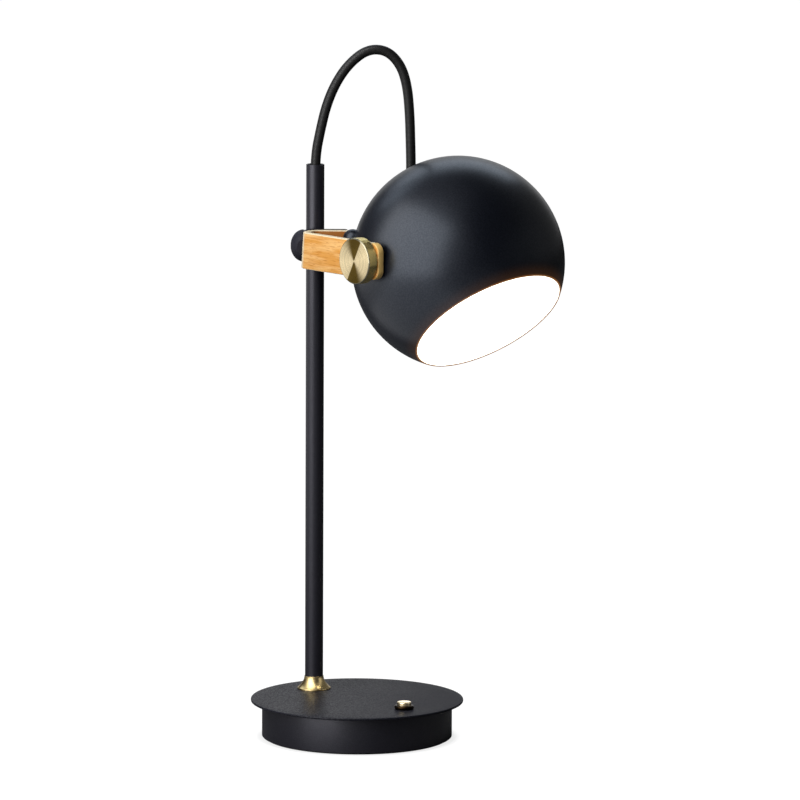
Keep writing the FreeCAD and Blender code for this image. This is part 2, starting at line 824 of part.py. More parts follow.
def cord_gland():
    """Upright gland on the ball: the cord drops straight into it."""
    hole = gland_place()
    top = hole.z + 6.6
    head = cylinder(7.2, hole.z, top, hole.x, hole.y)
    head = head.makeFillet(1.2, [e for e in head.Edges if e.BoundBox.ZMin > top - 0.01])
    head = head.fuse(cylinder(7.2, hole.z - 12, hole.z, hole.x, hole.y)).removeSplitter()
    head = head.cut(Part.makeSphere(shade_radius + 0.03, shade_centre))
    gland = head.fuse(cylinder(5.6, hole.z - 12, hole.z + 2, hole.x, hole.y))
    gland = gland.cut(cylinder(cord_radius + 0.1, cord_route[-1][1], top + 1, hole.x, hole.y))
    return gland.cut(cylinder(lead_radius + 0.1, hole.z - 20, top, hole.x, hole.y)).removeSplitter()


def shade_lead():
    hole = gland_place()
    return cylinder(lead_radius, hole.z - 13.9, cord_route[-1][1], hole.x, hole.y)


def cord_point(distance, height):
    way = V(gland_x, gland_y - pole_y, 0).normalize()
    return V(0, pole_y, height) + way * distance


def cord_pieces():
    """The cord's route cut in three at the middle of two runs."""
    points = [cord_point(distance, height) for distance, height in cord_route]
    first, second = cord_splits
    cut_a = (points[first] + points[first + 1]) * 0.5
    cut_b = (points[second] + points[second + 1]) * 0.5
    return [
        points[: first + 1] + [cut_a],
        [cut_a] + points[first + 1: second + 1] + [cut_b],
        [cut_b] + points[second + 1:],
    ], points


def bend_radii(points):
    radii = []
    for before, corner, after in zip(points, points[1:], points[2:]):
        a = before - corner
        b = after - corner
        half_turn = (math.pi - a.getAngle(b)) / 2
        radii.append(0.45 * min(a.Length, b.Length) / math.tan(half_turn))
    return radii


def cord_tube(points, radii):
    """Straight runs joined by tangent arcs, swept with a round section."""
    edges = []
    start = points[0]
    for before, corner, after, radius in zip(points, points[1:], points[2:], radii):
        a = (before - corner).normalize()
        b = (after - corner).normalize()
        half_turn = (math.pi - a.getAngle(b)) / 2
        back = radius * math.tan(half_turn)
        bisector = (a + b).normalize()
        centre = corner + bisector * (radius / math.cos(half_turn))
        enter = corner + a * back
        leave = corner + b * back
        edges.append(Part.LineSegment(start, enter).toShape())
        edges.append(Part.Arc(enter, centre - bisector * radius, leave).toShape())
        start = leave
    edges.append(Part.LineSegment(start, points[-1]).toShape())
    wire = Part.Wire(edges)
    tube = tube_along(wire, cord_radius, points[0], points[1] - points[0])
    expected = math.pi * cord_radius ** 2 * wire.Length
    print("cord piece length %.1f volume ratio %.4f" % (wire.Length, tube.Volume / expected))
    return tube


def build_cord():
    pieces, points = cord_pieces()
    radii = bend_radii(points)
    print("cord radii", " ".join("%.1f" % r for r in radii))
    first, second = cord_splits
    groups = [radii[:first], radii[first:second], radii[second:]]
    for name, piece, group in zip(("cord_rise", "cord_crown", "cord_drop"), pieces, groups):
        save(name, cord_tube(piece, group))


save("foot_pad", foot_pad())
save("bottom_cover", bottom_cover())
save("cover_screws", cover_screws())
save("ballast_weight", ballast())
save("base_drum", base_drum())
save("base_top_plate", base_plate())
save("plate_studs", plate_studs())
save("plate_nuts", plate_nuts())
save("battery_cells", battery_cells())
save("battery_tray", battery_tray())
save("cell_contacts", cell_contacts())
save("charging_board", charging_board())
save("charging_socket", charging_socket())
save("board_feet", board_feet())
save("switch_board", switch_board())
save("tact_switch", tact_switch())
save("button_bezel", button_bezel())
save("bezel_nut", bezel_nut())
save("button_cap", button_cap())
save("button_clip", button_clip())
save("button_dome", button_dome())
save("pole_tube", pole_tube())
save("pole_plug", pole_plug())
save("pole_nipple", pole_nipple())
save("pole_washer", pole_washer())
save("pole_nut", pole_nut())
save("foot_collar", foot_collar())
save("pole_top_bush", top_bush())
save("pole_lead", pole_lead())
save("lead_connector", lead_connector())
save("clamp_bush", clamp_bush())
save("clamp_bar", clamp_bar())
save("clamp_grub_screw", grub_screw())
save("strap_backing_plate", backing_plate())
save("bamboo_strap", bamboo_strap())
save("strap_screws", strap_screws())
save("pivot_sleeve", pivot_sleeve())
save("knob_washer", knob_washer())
save("friction_washer", friction_washer())
save("thumb_knob", thumb_knob())
save("knob_stud", knob_stud())
save("shade_shell", shade_shell())
save("pivot_boss", pivot_boss())
save("pivot_dish_washer", pivot_dish())
save("pivot_nut", pivot_nut())
save("heat_sink", heat_sink())
save("lamp_board", lamp_board())
save("lamp_chips", lamp_chips())
save("opal_diffuser", diffuser())
save("side_cap", side_cap())
save("side_cap_nut", side_cap_nut())
save("cord_gland", cord_gland())
save("shade_lead", shade_lead())
build_cord()
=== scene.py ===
"""Cordless table lamp: a matte black pole and weighted base, a ball shade held by a bent
bamboo strap and a brass thumb knob, and a short braided cord that arches into the ball.

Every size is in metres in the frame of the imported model: origin under the middle of the
base, +Z up, and -Y towards the lamp's front.
"""

from __future__ import annotations

import json
import logging
import math
from dataclasses import dataclass
from enum import Enum
from functools import reduce
from typing import Callable, Sequence, Union

import bpy
from mathutils import Matrix, Vector

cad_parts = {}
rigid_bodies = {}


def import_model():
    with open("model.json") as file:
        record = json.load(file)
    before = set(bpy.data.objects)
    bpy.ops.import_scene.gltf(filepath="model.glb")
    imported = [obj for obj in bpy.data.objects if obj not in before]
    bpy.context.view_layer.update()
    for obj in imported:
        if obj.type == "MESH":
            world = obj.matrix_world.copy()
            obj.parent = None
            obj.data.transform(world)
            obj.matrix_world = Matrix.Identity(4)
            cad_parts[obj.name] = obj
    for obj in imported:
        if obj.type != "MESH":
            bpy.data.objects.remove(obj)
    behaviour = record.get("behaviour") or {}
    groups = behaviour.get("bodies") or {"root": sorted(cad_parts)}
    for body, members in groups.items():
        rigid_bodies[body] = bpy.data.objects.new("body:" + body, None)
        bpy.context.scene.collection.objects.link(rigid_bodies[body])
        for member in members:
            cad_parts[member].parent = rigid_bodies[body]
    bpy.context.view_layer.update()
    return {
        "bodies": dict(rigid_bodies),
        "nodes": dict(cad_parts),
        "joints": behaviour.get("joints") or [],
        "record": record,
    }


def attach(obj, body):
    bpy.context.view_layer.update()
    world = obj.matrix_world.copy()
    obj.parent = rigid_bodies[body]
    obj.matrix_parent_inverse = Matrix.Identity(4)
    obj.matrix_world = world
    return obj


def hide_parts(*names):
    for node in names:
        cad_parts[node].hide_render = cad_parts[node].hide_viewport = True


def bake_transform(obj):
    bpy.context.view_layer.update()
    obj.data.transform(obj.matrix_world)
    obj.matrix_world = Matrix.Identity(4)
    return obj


LOG = logging.getLogger("lamp")
MM = 0.001

Piece = bpy.types.Object
Socket = bpy.types.NodeSocket
Sockets = dict[str, Socket]
Place = tuple[float, float, float]
Colour = tuple[float, float, float]
Ring = tuple[float, float]

# What a node's input takes: another node's socket, a number, a direction or a colour without alpha
Value = Union[Socket, float, Sequence[float]]
Inputs = dict[Union[int, str], Value]

BLACK: Colour = (0.0, 0.0, 0.0)
WHITE: Colour = (1.0, 1.0, 1.0)
ORIGIN: Place = (0.0, 0.0, 0.0)
UP = Vector((0.0, 0.0, 1.0))

POLE_PLACE = Vector((0.0, 57.0, 0.0)) * MM
BUTTON_PLACE = Vector((0.0, -61.5, 0.0)) * MM
GLAND_PLACE = Vector((65.8, 9.75, 0.0)) * MM
BALL_CENTRE = Vector((67.3, -50.0, 404.8)) * MM
BALL_PITCH = math.radians(49.2)
BALL_REAR = Vector((0.0, math.cos(BALL_PITCH), math.sin(BALL_PITCH)))
HEAD_HEIGHT = 413.8 * MM
PIVOT = Vector((-30.0 * MM, -41.9 * MM, HEAD_HEIGHT))
BAR_ANGLE = math.radians(-40.5)
BAR_ALONG = Vector((math.cos(BAR_ANGLE), math.sin(BAR_ANGLE), 0.0))
BAR_FRONT = Vector((math.sin(BAR_ANGLE), -math.cos(BAR_ANGLE), 0.0))


class Body(Enum):
    """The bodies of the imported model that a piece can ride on."""

    STAND = "stand"
    BUTTON = "button"
    SLIDER = "slider"
    BRACKET = "bracket"
    KNOB = "knob"
    SHADE = "shade"


class End(Enum):
    """How a turned piece is closed: its last ring meets its first, or both shrink to a point."""

    LOOP = "loop"
    POINT = "point"


class Graph:
    """A small helper that adds and joins the nodes of one node tree."""

    def __init__(self, tree: bpy.types.NodeTree) -> None:
        """Keep the tree that nodes are added to."""
        self.tree = tree

    def add(self, kind: str, inputs: Inputs | None = None, **values: object) -> bpy.types.Node:
        """Add a node, set its properties and feed its inputs.

        Args:
            kind: The node's type, such as ShaderNodeTexNoise.
            inputs: Plain values or sockets by input number or name.
            **values: The node's own properties.

        Returns:
            The new node.
        """
        node = self.tree.nodes.new(kind)
        for name, value in values.items():
            setattr(node, name, value)
        for key, value in (inputs or {}).items():
            self.feed(node.inputs[key], value)
        return node

    def feed(self, socket: Socket, value: Value) -> None:
        """Give an input a link or a plain value.

        Args:
            socket: The input.
            value: What it takes; a plain colour gets its alpha here.
        """
        if isinstance(value, Socket):
            self.tree.links.new(value, socket)
        else:
            socket.default_value = (*value, 1.0) if socket.type == "RGBA" else value

    def math(self, operation: str, *values: Value) -> Socket:
        """Work out one operation on one to three values."""
        return self.add("ShaderNodeMath", dict(enumerate(values)), operation=operation).outputs[0]

    def times(self, *values: Value) -> Socket:
        """Multiply values in turn."""
        return reduce(lambda first, second: self.math("MULTIPLY", first, second), values)

    def ramp(self, factor: Value, low: float, high: float, start: float = 0.0, end: float = 1.0) -> Socket:
        """Map a value smoothly from the range low to high onto the range start to end."""
        inputs = dict(enumerate((factor, low, high, start, end)))
        return self.add("ShaderNodeMapRange", inputs, interpolation_type="SMOOTHSTEP").outputs[0]

    def mix(self, factor: Value, first: Value, second: Value) -> Socket:
        """Mix two colours by the share of the second."""
        return self.add("ShaderNodeMix", {0: factor, 6: first, 7: second}, data_type="RGBA").outputs[2]

    def vector(self, operation: str, first: Value, second: Value = ORIGIN) -> bpy.types.Node:
        """Add a vector operation; its outputs are Vector and Value."""
        return self.add("ShaderNodeVectorMath", {0: first, 1: second}, operation=operation)

    def dot(self, vector: Value, way: Sequence[float]) -> Socket:
        """Measure coordinates along a direction."""
        return self.vector("DOT_PRODUCT", vector, way).outputs["Value"]

    def split(self, vector: Value) -> Sequence[Socket]:
        """Take a vector apart into its three parts."""
        return self.add("ShaderNodeSeparateXYZ", {0: vector}).outputs

    def noise(self, vector: Value, scale: Value, detail: float = 3.0, roughness: float = 0.5) -> Socket:
        """Make noise of a scale per metre, with its octaves and their weight."""
        inputs = {"Vector": vector, "Scale": scale, "Detail": detail, "Roughness": roughness}
        return self.add("ShaderNodeTexNoise", inputs).outputs["Fac"]

    def streaks(self, vector: Value, scales: Place, detail: float = 3.0, roughness: float = 0.5) -> Socket:
        """Make noise with a scale of its own along each axis."""
        stretched = self.add("ShaderNodeMapping", {"Vector": vector, "Scale": scales}).outputs[0]
        return self.noise(stretched, 1.0, detail, roughness)


class Effects:
    """Shader node groups that several finishes share, each built once."""

    def __init__(self) -> None:
        """Build every group."""
        self.trees = {
            "speckle": self.make("speckle", self.draw_speckle, Scale=1200.0, Spread=0.5),
            "smudge": self.make("smudge", self.draw_smudge, Scale=14.0, Low=0.3, High=0.5),
        }

    @staticmethod
    def make(name: str, draw: Callable[[Graph, Sockets], Sockets], **inputs: float) -> bpy.types.NodeTree:
        """Make a group with a Vector and number inputs, and Mask and Value outputs.

        Args:
            name: The group's name.
            draw: Takes the graph and the group's inputs, and gives its outputs.
            **inputs: Defaults of the number inputs by name.

        Returns:
            The group's tree.
        """
        tree = bpy.data.node_groups.new(name, "ShaderNodeTree")
        tree.interface.new_socket("Vector", in_out="INPUT", socket_type="NodeSocketVector")
        for label, value in inputs.items():
            socket = tree.interface.new_socket(label, in_out="INPUT", socket_type="NodeSocketFloat")
            socket.default_value = value
        for label in ("Mask", "Value"):
            tree.interface.new_socket(label, in_out="OUTPUT", socket_type="NodeSocketFloat")
        graph = Graph(tree)
        graph.add("NodeGroupOutput", draw(graph, graph.add("NodeGroupInput").outputs))
        return tree

    @staticmethod
    def draw_speckle(graph: Graph, given: Sockets) -> Sockets:
        """Fine even bumps of a sprayed or moulded surface; Value is their height."""
        fine = graph.noise(given["Vector"], given["Scale"], 2.0)
        coarse = graph.noise(given["Vector"], graph.times(given["Scale"], 0.31), 2.0)
        height = graph.math("ADD", fine, graph.times(coarse, given["Spread"]))
        return {"Mask": graph.ramp(fine, 0.35, 0.65), "Value": height}

    @staticmethod
    def draw_smudge(graph: Graph, given: Sockets) -> Sockets:
        """Broad soft variation; Value runs between Low and High."""
        mask = graph.ramp(graph.noise(given["Vector"], given["Scale"], 4.0), 0.3, 0.7)
        span = graph.math("SUBTRACT", given["High"], given["Low"])
        return {"Mask": mask, "Value": graph.math("MULTIPLY_ADD", mask, span, given["Low"])}


class Canvas(Graph):
    """The node tree of one Principled material, as a finish paints it."""

    def __init__(self, material: bpy.types.Material, effects: Effects | None = None) -> None:
        """Find the material's shader and its Object coordinates.

        Args:
            material: The material, with its nodes in use.
            effects: The shared node groups, where the finish lays any.
        """
        super().__init__(material.node_tree)
        self.effects = effects
        self.shader = material.node_tree.nodes["Principled BSDF"]
        self.place = self.add("ShaderNodeTexCoord").outputs["Object"]

    def set(self, **values: Value) -> None:
        """Feed the shader's inputs by name, with _ for each space."""
        for name, value in values.items():
            self.feed(self.shader.inputs[name.replace("_", " ")], value)

    def effect(self, name: str, **values: float) -> Sockets:
        """Lay a shared group over the Object coordinates and take its outputs."""
        inputs = {"Vector": self.place, **values}
        return self.add("ShaderNodeGroup", inputs, node_tree=self.effects.trees[name]).outputs

    def place_from(self, centre: Sequence[float]) -> Socket:
        """Object coordinates measured from a place."""
        return self.vector("SUBTRACT", self.place, centre).outputs[0]

    def laid_out(self, name: str) -> Socket:
        """Coordinates of a UV map."""
        return self.add("ShaderNodeUVMap", uv_map=name).outputs[0]

    def bump(self, height: Value, strength: float, distance: float) -> None:
        """Add a bump to the shader's normal; the distance is a full bump's height, in metres."""
        inputs = {"Strength": strength, "Distance": distance, "Height": height}
        self.set(Normal=self.add("ShaderNodeBump", inputs).outputs["Normal"])


def scaled(colour: Colour, *factors: float) -> Colour:
    """Scale a colour by one factor or by one for each channel, up to white."""
    return tuple(min(1.0, c * f) for c, f in zip(colour, factors * (3 // len(factors))))


@dataclass(frozen=True)
class Finish:
    """The base of every finish: a Principled material over Object coordinates."""

    name: str
    colour: Colour
    metallic: float = 0.0
    specular: float = 0.5
    tint: Colour = WHITE

    def make(self, effects: Effects) -> bpy.types.Material:
        """Make the material: set its plain values, then paint what is the finish's own.

        Args:
            effects: The shared node groups.

        Returns:
            The material.
        """
        material = bpy.data.materials.new(self.name)
        material.use_nodes = True
        material.diffuse_color = (*self.colour, 1.0)
        canvas = Canvas(material, effects)
        canvas.set(Base_Color=self.colour, Metallic=self.metallic)
        canvas.set(Specular_IOR_Level=self.specular, Specular_Tint=self.tint)
        self.paint(canvas)
        return material

    def paint(self, canvas: Canvas) -> None:
        """Paint the finish's own nodes."""
        raise NotImplementedError


@dataclass(frozen=True)
class PowderCoat(Finish):
    """Matte coat with a fine even texture, such as powder coat or moulded plastic."""

    grain: float = 1500.0
    depth: float = 0.08 * MM
    low: float = 0.42
    high: float = 0.5
    sparkle: float = 0.0
    # Painted sheen: direction along which the sparkle fades, so one side shines more
    fade: Vector | None = None
    fade_span: tuple[float, float] = (-60.0 * MM, 90.0 * MM)

    def paint(self, canvas: Canvas) -> None:
        """Speckle the coat, with a sparkle that may fade along a direction as a painted sheen.

        Args:
            canvas: The material's nodes.
        """
        speckle = canvas.effect("speckle", Scale=self.grain, Spread=0.6)
        smudge = canvas.effect("smudge", Scale=12.0, Low=self.low, High=self.high)
        colour = canvas.mix(speckle["Mask"], self.colour, scaled(self.colour, 1.5))
        canvas.set(Base_Color=colour, Roughness=smudge["Value"])
        if self.sparkle:
            shine = canvas.times(speckle["Mask"], self.sparkle)
            # Painted sheen: fade the sparkle along a direction, brighter on one side
            if self.fade:
                along = canvas.dot(canvas.place, self.fade)
                shine = canvas.times(shine, canvas.ramp(along, *self.fade_span, 1.0, 0.0))
            canvas.set(Coat_Weight=shine, Coat_Roughness=self.low)
        canvas.bump(speckle["Value"], 0.5, self.depth)


@dataclass(frozen=True)
class PaintedRimGlowCoat(PowderCoat):
    """Powder coat of the ball, with a painted glow for the lamp's light that spills over the mouth's rim."""

    mouth: float = 60.6 * MM
    spill: Colour = (0.55, 0.22, 0.06)
    haze_reach: float = 13.0 * MM
    haze: float = 0.045
    line_reach: float = 1.56 * MM
    line: float = 0.45

    def paint(self, canvas: Canvas) -> None:
        """Speckle the coat and paint a glow: a bright line at the rim and a wide faint haze above it.

        Args:
            canvas: The material's nodes.
        """
        super().paint(canvas)
        # Painted glow: emission that fades with height above the mouth's plane
        above = canvas.math("ADD", canvas.dot(canvas.place_from(BALL_CENTRE), BALL_REAR), self.mouth)
        near = canvas.ramp(above, 0.0, self.line_reach, 1.0, 0.0)
        wide = canvas.math("POWER", canvas.ramp(above, 0.0, self.haze_reach, 1.0, 0.0), 2.0)
        glow = canvas.math("MULTIPLY_ADD", wide, self.haze, canvas.times(near, self.line))
        canvas.set(Emission_Color=canvas.mix(glow, BLACK, self.spill), Emission_Strength=1.0)


@dataclass(frozen=True)
class TurnedMetal(Finish):
    """Metal turned on a lathe: fine grooves round an axis given in the frame."""

    centre: Place | Vector = ORIGIN
    axis: int = 2
    grooves: float = 2600.0
    low: float = 0.2
    high: float = 0.32
    anisotropy: float = 0.0
    depth: float = 0.02 * MM

    def paint(self, canvas: Canvas) -> None:
        """Draw the grooves as noise that varies only with the radius and along the axis.

        Args:
            canvas: The material's nodes.
        """
        parts = canvas.split(canvas.place_from(self.centre))
        side, rise = (parts[i] for i in range(3) if i != self.axis)
        radius = canvas.math("SQRT", canvas.math("ADD", canvas.times(side, side), canvas.times(rise, rise)))
        spot = {"side": side, "rise": rise, "radius": radius, "along": parts[self.axis]}
        rings = canvas.add("ShaderNodeCombineXYZ", {0: radius, 1: spot["along"]}).outputs[0]
        lines = canvas.noise(rings, self.grooves, 2.0)
        smudge = canvas.effect("smudge", Scale=60.0, Low=self.low, High=self.high)
        colour = canvas.mix(canvas.ramp(lines, 0.3, 0.7), scaled(self.colour, 0.82), self.colour)
        canvas.set(Base_Color=self.tone(canvas, colour, spot), Roughness=smudge["Value"])
        canvas.bump(lines, 0.35, self.depth)
        if self.anisotropy:
            tangent = canvas.add("ShaderNodeTangent", direction_type="RADIAL", axis="XYZ"[self.axis])
            canvas.set(Anisotropic=self.anisotropy, Anisotropic_Rotation=0.25, Tangent=tangent.outputs[0])

    def tone(self, canvas: Canvas, colour: Socket, spot: Sockets) -> Socket:
        """Vary the colour over the piece; plain turned metal keeps it."""
        return colour


@dataclass(frozen=True)
class KnobBrass(TurnedMetal):
    """Brass knob cut in fine rings; its face has two dark fans of painted reflection inside a paler painted
    highlight tone on its eased rim.
    """

    # Painted reflection: colour of the two dark fans on the face
    painted_fan: Colour = (0.115, 0.068, 0.002)
    side: Colour = (0.82, 0.64, 0.24)
    # Painted highlight: paler tone of the face's eased rim
    rim: Colour = (0.42, 0.38, 0.26)
    sharp_edge: tuple[float, float] = (0.43, 0.49)
    soft_edge: tuple[float, float] = (-0.85, -0.25)
    painted_fan_share: float = 0.97
    face: float = -9.8 * MM
    rim_radius: float = 18.4 * MM

    def tone(self, canvas: Canvas, colour: Socket, spot: Sockets) -> Socket:
        """Paint two dark fans of reflection on the face and a paler highlight tone on its rim, and warm the
        side.

        Args:
            canvas: The material's nodes.
            colour: The metal's colour.
            spot: Distances from the centre: to the side, upwards, from the axis and along it.

        Returns:
            The varied colour.
        """
        # Painted reflection: two dark fans on the face, each between a sharp and a soft edge
        upper = canvas.math("SIGN", spot["rise"])
        lean = canvas.math("DIVIDE", canvas.times(spot["side"], upper, -1.0), spot["radius"])
        sharp = canvas.ramp(lean, *self.sharp_edge, 1.0, 0.0)
        soft = canvas.ramp(lean, *self.soft_edge)
        at_face = canvas.math("LESS_THAN", spot["along"], self.face + 0.3 * MM)
        colour = canvas.mix(canvas.math("SUBTRACT", 1.0, at_face), colour, self.side)
        colour = canvas.mix(canvas.times(sharp, soft, at_face, self.painted_fan_share), colour, self.painted_fan)
        # Painted highlight: a paler tone on the face's eased rim
        at_rim = canvas.math("LESS_THAN", spot["along"], self.face + 1.0 * MM)
        edge = canvas.math("GREATER_THAN", spot["radius"], self.rim_radius)
        return canvas.mix(canvas.times(at_rim, edge), colour, self.rim)


@dataclass(frozen=True)
class Bamboo(Finish):
    """Lacquered bamboo: long streaks along the strap's UV map, layers through its depth."""

    streak: Colour = (0.60, 0.19, 0.012)
    # Painted shade: colour of the inner face, where the two legs shade each other
    inner: Colour = (0.42, 0.12, 0.012)
    edge: Colour = (1.0, 0.87, 0.60)
    end: Colour = (0.95, 0.64, 0.22)
    # Painted highlight: stretch along the strap, in metres, where the bend's outer face is lightened
    bend: tuple[float, ...] = (96.8 * MM, 98.6 * MM, 103.0 * MM, 106.0 * MM)
    end_length: float = 9.0 * MM
    layers: float = 4300.0

    def paint(self, canvas: Canvas) -> None:
        """Paint the outer face, a painted highlight along its bend, painted shade on the inner face, and the
        layered edges.

        Args:
            canvas: The material's nodes.
        """
        grain = canvas.laid_out("strap")
        depth = canvas.add("ShaderNodeAttribute", attribute_name="depth").outputs["Fac"]
        fibres = canvas.streaks(grain, (30.0, 1100.0, 1.0), 4.0, 0.6)
        bands = canvas.streaks(grain, (22.0, 150.0, 1.0))
        dashes = canvas.streaks(grain, (110.0, 1500.0, 1.0), 2.0)
        deeper = scaled(self.colour, 0.84, 0.66, 0.36)
        colour = canvas.mix(canvas.ramp(bands, 0.38, 0.62), self.colour, deeper)
        colour = canvas.mix(canvas.times(canvas.ramp(fibres, 0.5, 0.64), 0.5), colour, self.streak)
        colour = canvas.mix(canvas.times(canvas.ramp(dashes, 0.58, 0.67), 0.75), colour, self.streak)
        along = canvas.split(grain)[0]
        # Painted highlight: a pale band where the outer face turns round the bend
        bent = canvas.times(canvas.ramp(along, *self.bend[:2]), canvas.ramp(along, *self.bend[2:], 1.0, 0.0))
        colour = canvas.mix(canvas.times(bent, 0.8), colour, self.edge)
        # Painted shade: the inner face, over 4.5 mm deep from the outer face, is darkened
        colour = canvas.mix(canvas.ramp(depth, 4.5 * MM, 5.4 * MM, 0.0, 0.85), colour, self.inner)
        way = canvas.split(canvas.add("ShaderNodeNewGeometry").outputs["Normal"])
        upright = canvas.ramp(canvas.math("ABSOLUTE", way[2]), 0.1, 0.5)
        at_end = canvas.math("LESS_THAN", along, self.end_length)
        end_face = canvas.times(at_end, canvas.ramp(canvas.math("ABSOLUTE", way[1]), 0.2, 0.6))
        layers = canvas.ramp(canvas.math("SINE", canvas.times(depth, self.layers)), 0.5, 1.0, 0.0, 0.5)
        edge = canvas.mix(layers, canvas.mix(at_end, self.edge, self.end), self.colour)
        colour = canvas.mix(canvas.math("MAXIMUM", upright, end_face), colour, edge)
        canvas.set(Base_Color=colour, Roughness=canvas.ramp(fibres, 0.3, 0.7, 0.34, 0.46))
        canvas.set(Coat_Weight=0.05, Coat_Roughness=0.25)
        canvas.bump(fibres, 0.3, 0.12 * MM)


@dataclass(frozen=True)
class Braid(Finish):
    """Woven sleeve: two sets of crossing strands along the cord's UV map, in metres."""

    pitch: float = 4.2 * MM
    strands: int = 16

    def paint(self, canvas: Canvas) -> None:
        """Weave the strands and give their ridges a broken shine.

        Args:
            canvas: The material's nodes.
        """
        along, around, _ = canvas.split(canvas.laid_out("sleeve"))
        turn = canvas.times(around, self.strands)
        run = canvas.times(along, 2.0 / self.pitch)
        sides = [canvas.math("FRACT", canvas.math(operation, turn, run)) for operation in ("ADD", "SUBTRACT")]
        ridge = canvas.math("MAXIMUM", *(canvas.math("PINGPONG", side, 0.5) for side in sides))
        over = canvas.math("GREATER_THAN", canvas.math("FRACT", canvas.times(run, 0.5)), 0.5)
        weave = canvas.math("ADD", canvas.times(over, 0.04), ridge)
        fuzz = canvas.noise(canvas.place, 5200.0, 2.0)
        mask = canvas.times(canvas.ramp(weave, 0.34, 0.5), canvas.ramp(fuzz, 0.3, 0.7, 0.5, 1.0))
        canvas.set(Base_Color=canvas.mix(mask, self.colour, scaled(self.colour, 2.5)), Roughness=0.6)
        canvas.set(Coat_Weight=mask, Coat_Roughness=0.3)
        canvas.bump(weave, 0.4, 0.1 * MM)


@dataclass(frozen=True)
class Glow(Finish):
    """White paint, opal plastic or a lamp chip, lit by the lamp."""

    light: Colour = WHITE
    strength: float = 1.0

    def paint(self, canvas: Canvas) -> None:
        """Let the surface glow with a slight unevenness.

        Args:
            canvas: The material's nodes.
        """
        smudge = canvas.effect("smudge", Scale=25.0, Low=0.97, High=1.0)
        light = canvas.mix(smudge["Mask"], scaled(self.light, 0.96), self.light)
        canvas.set(Roughness=0.5, Emission_Color=light, Emission_Strength=self.strength)


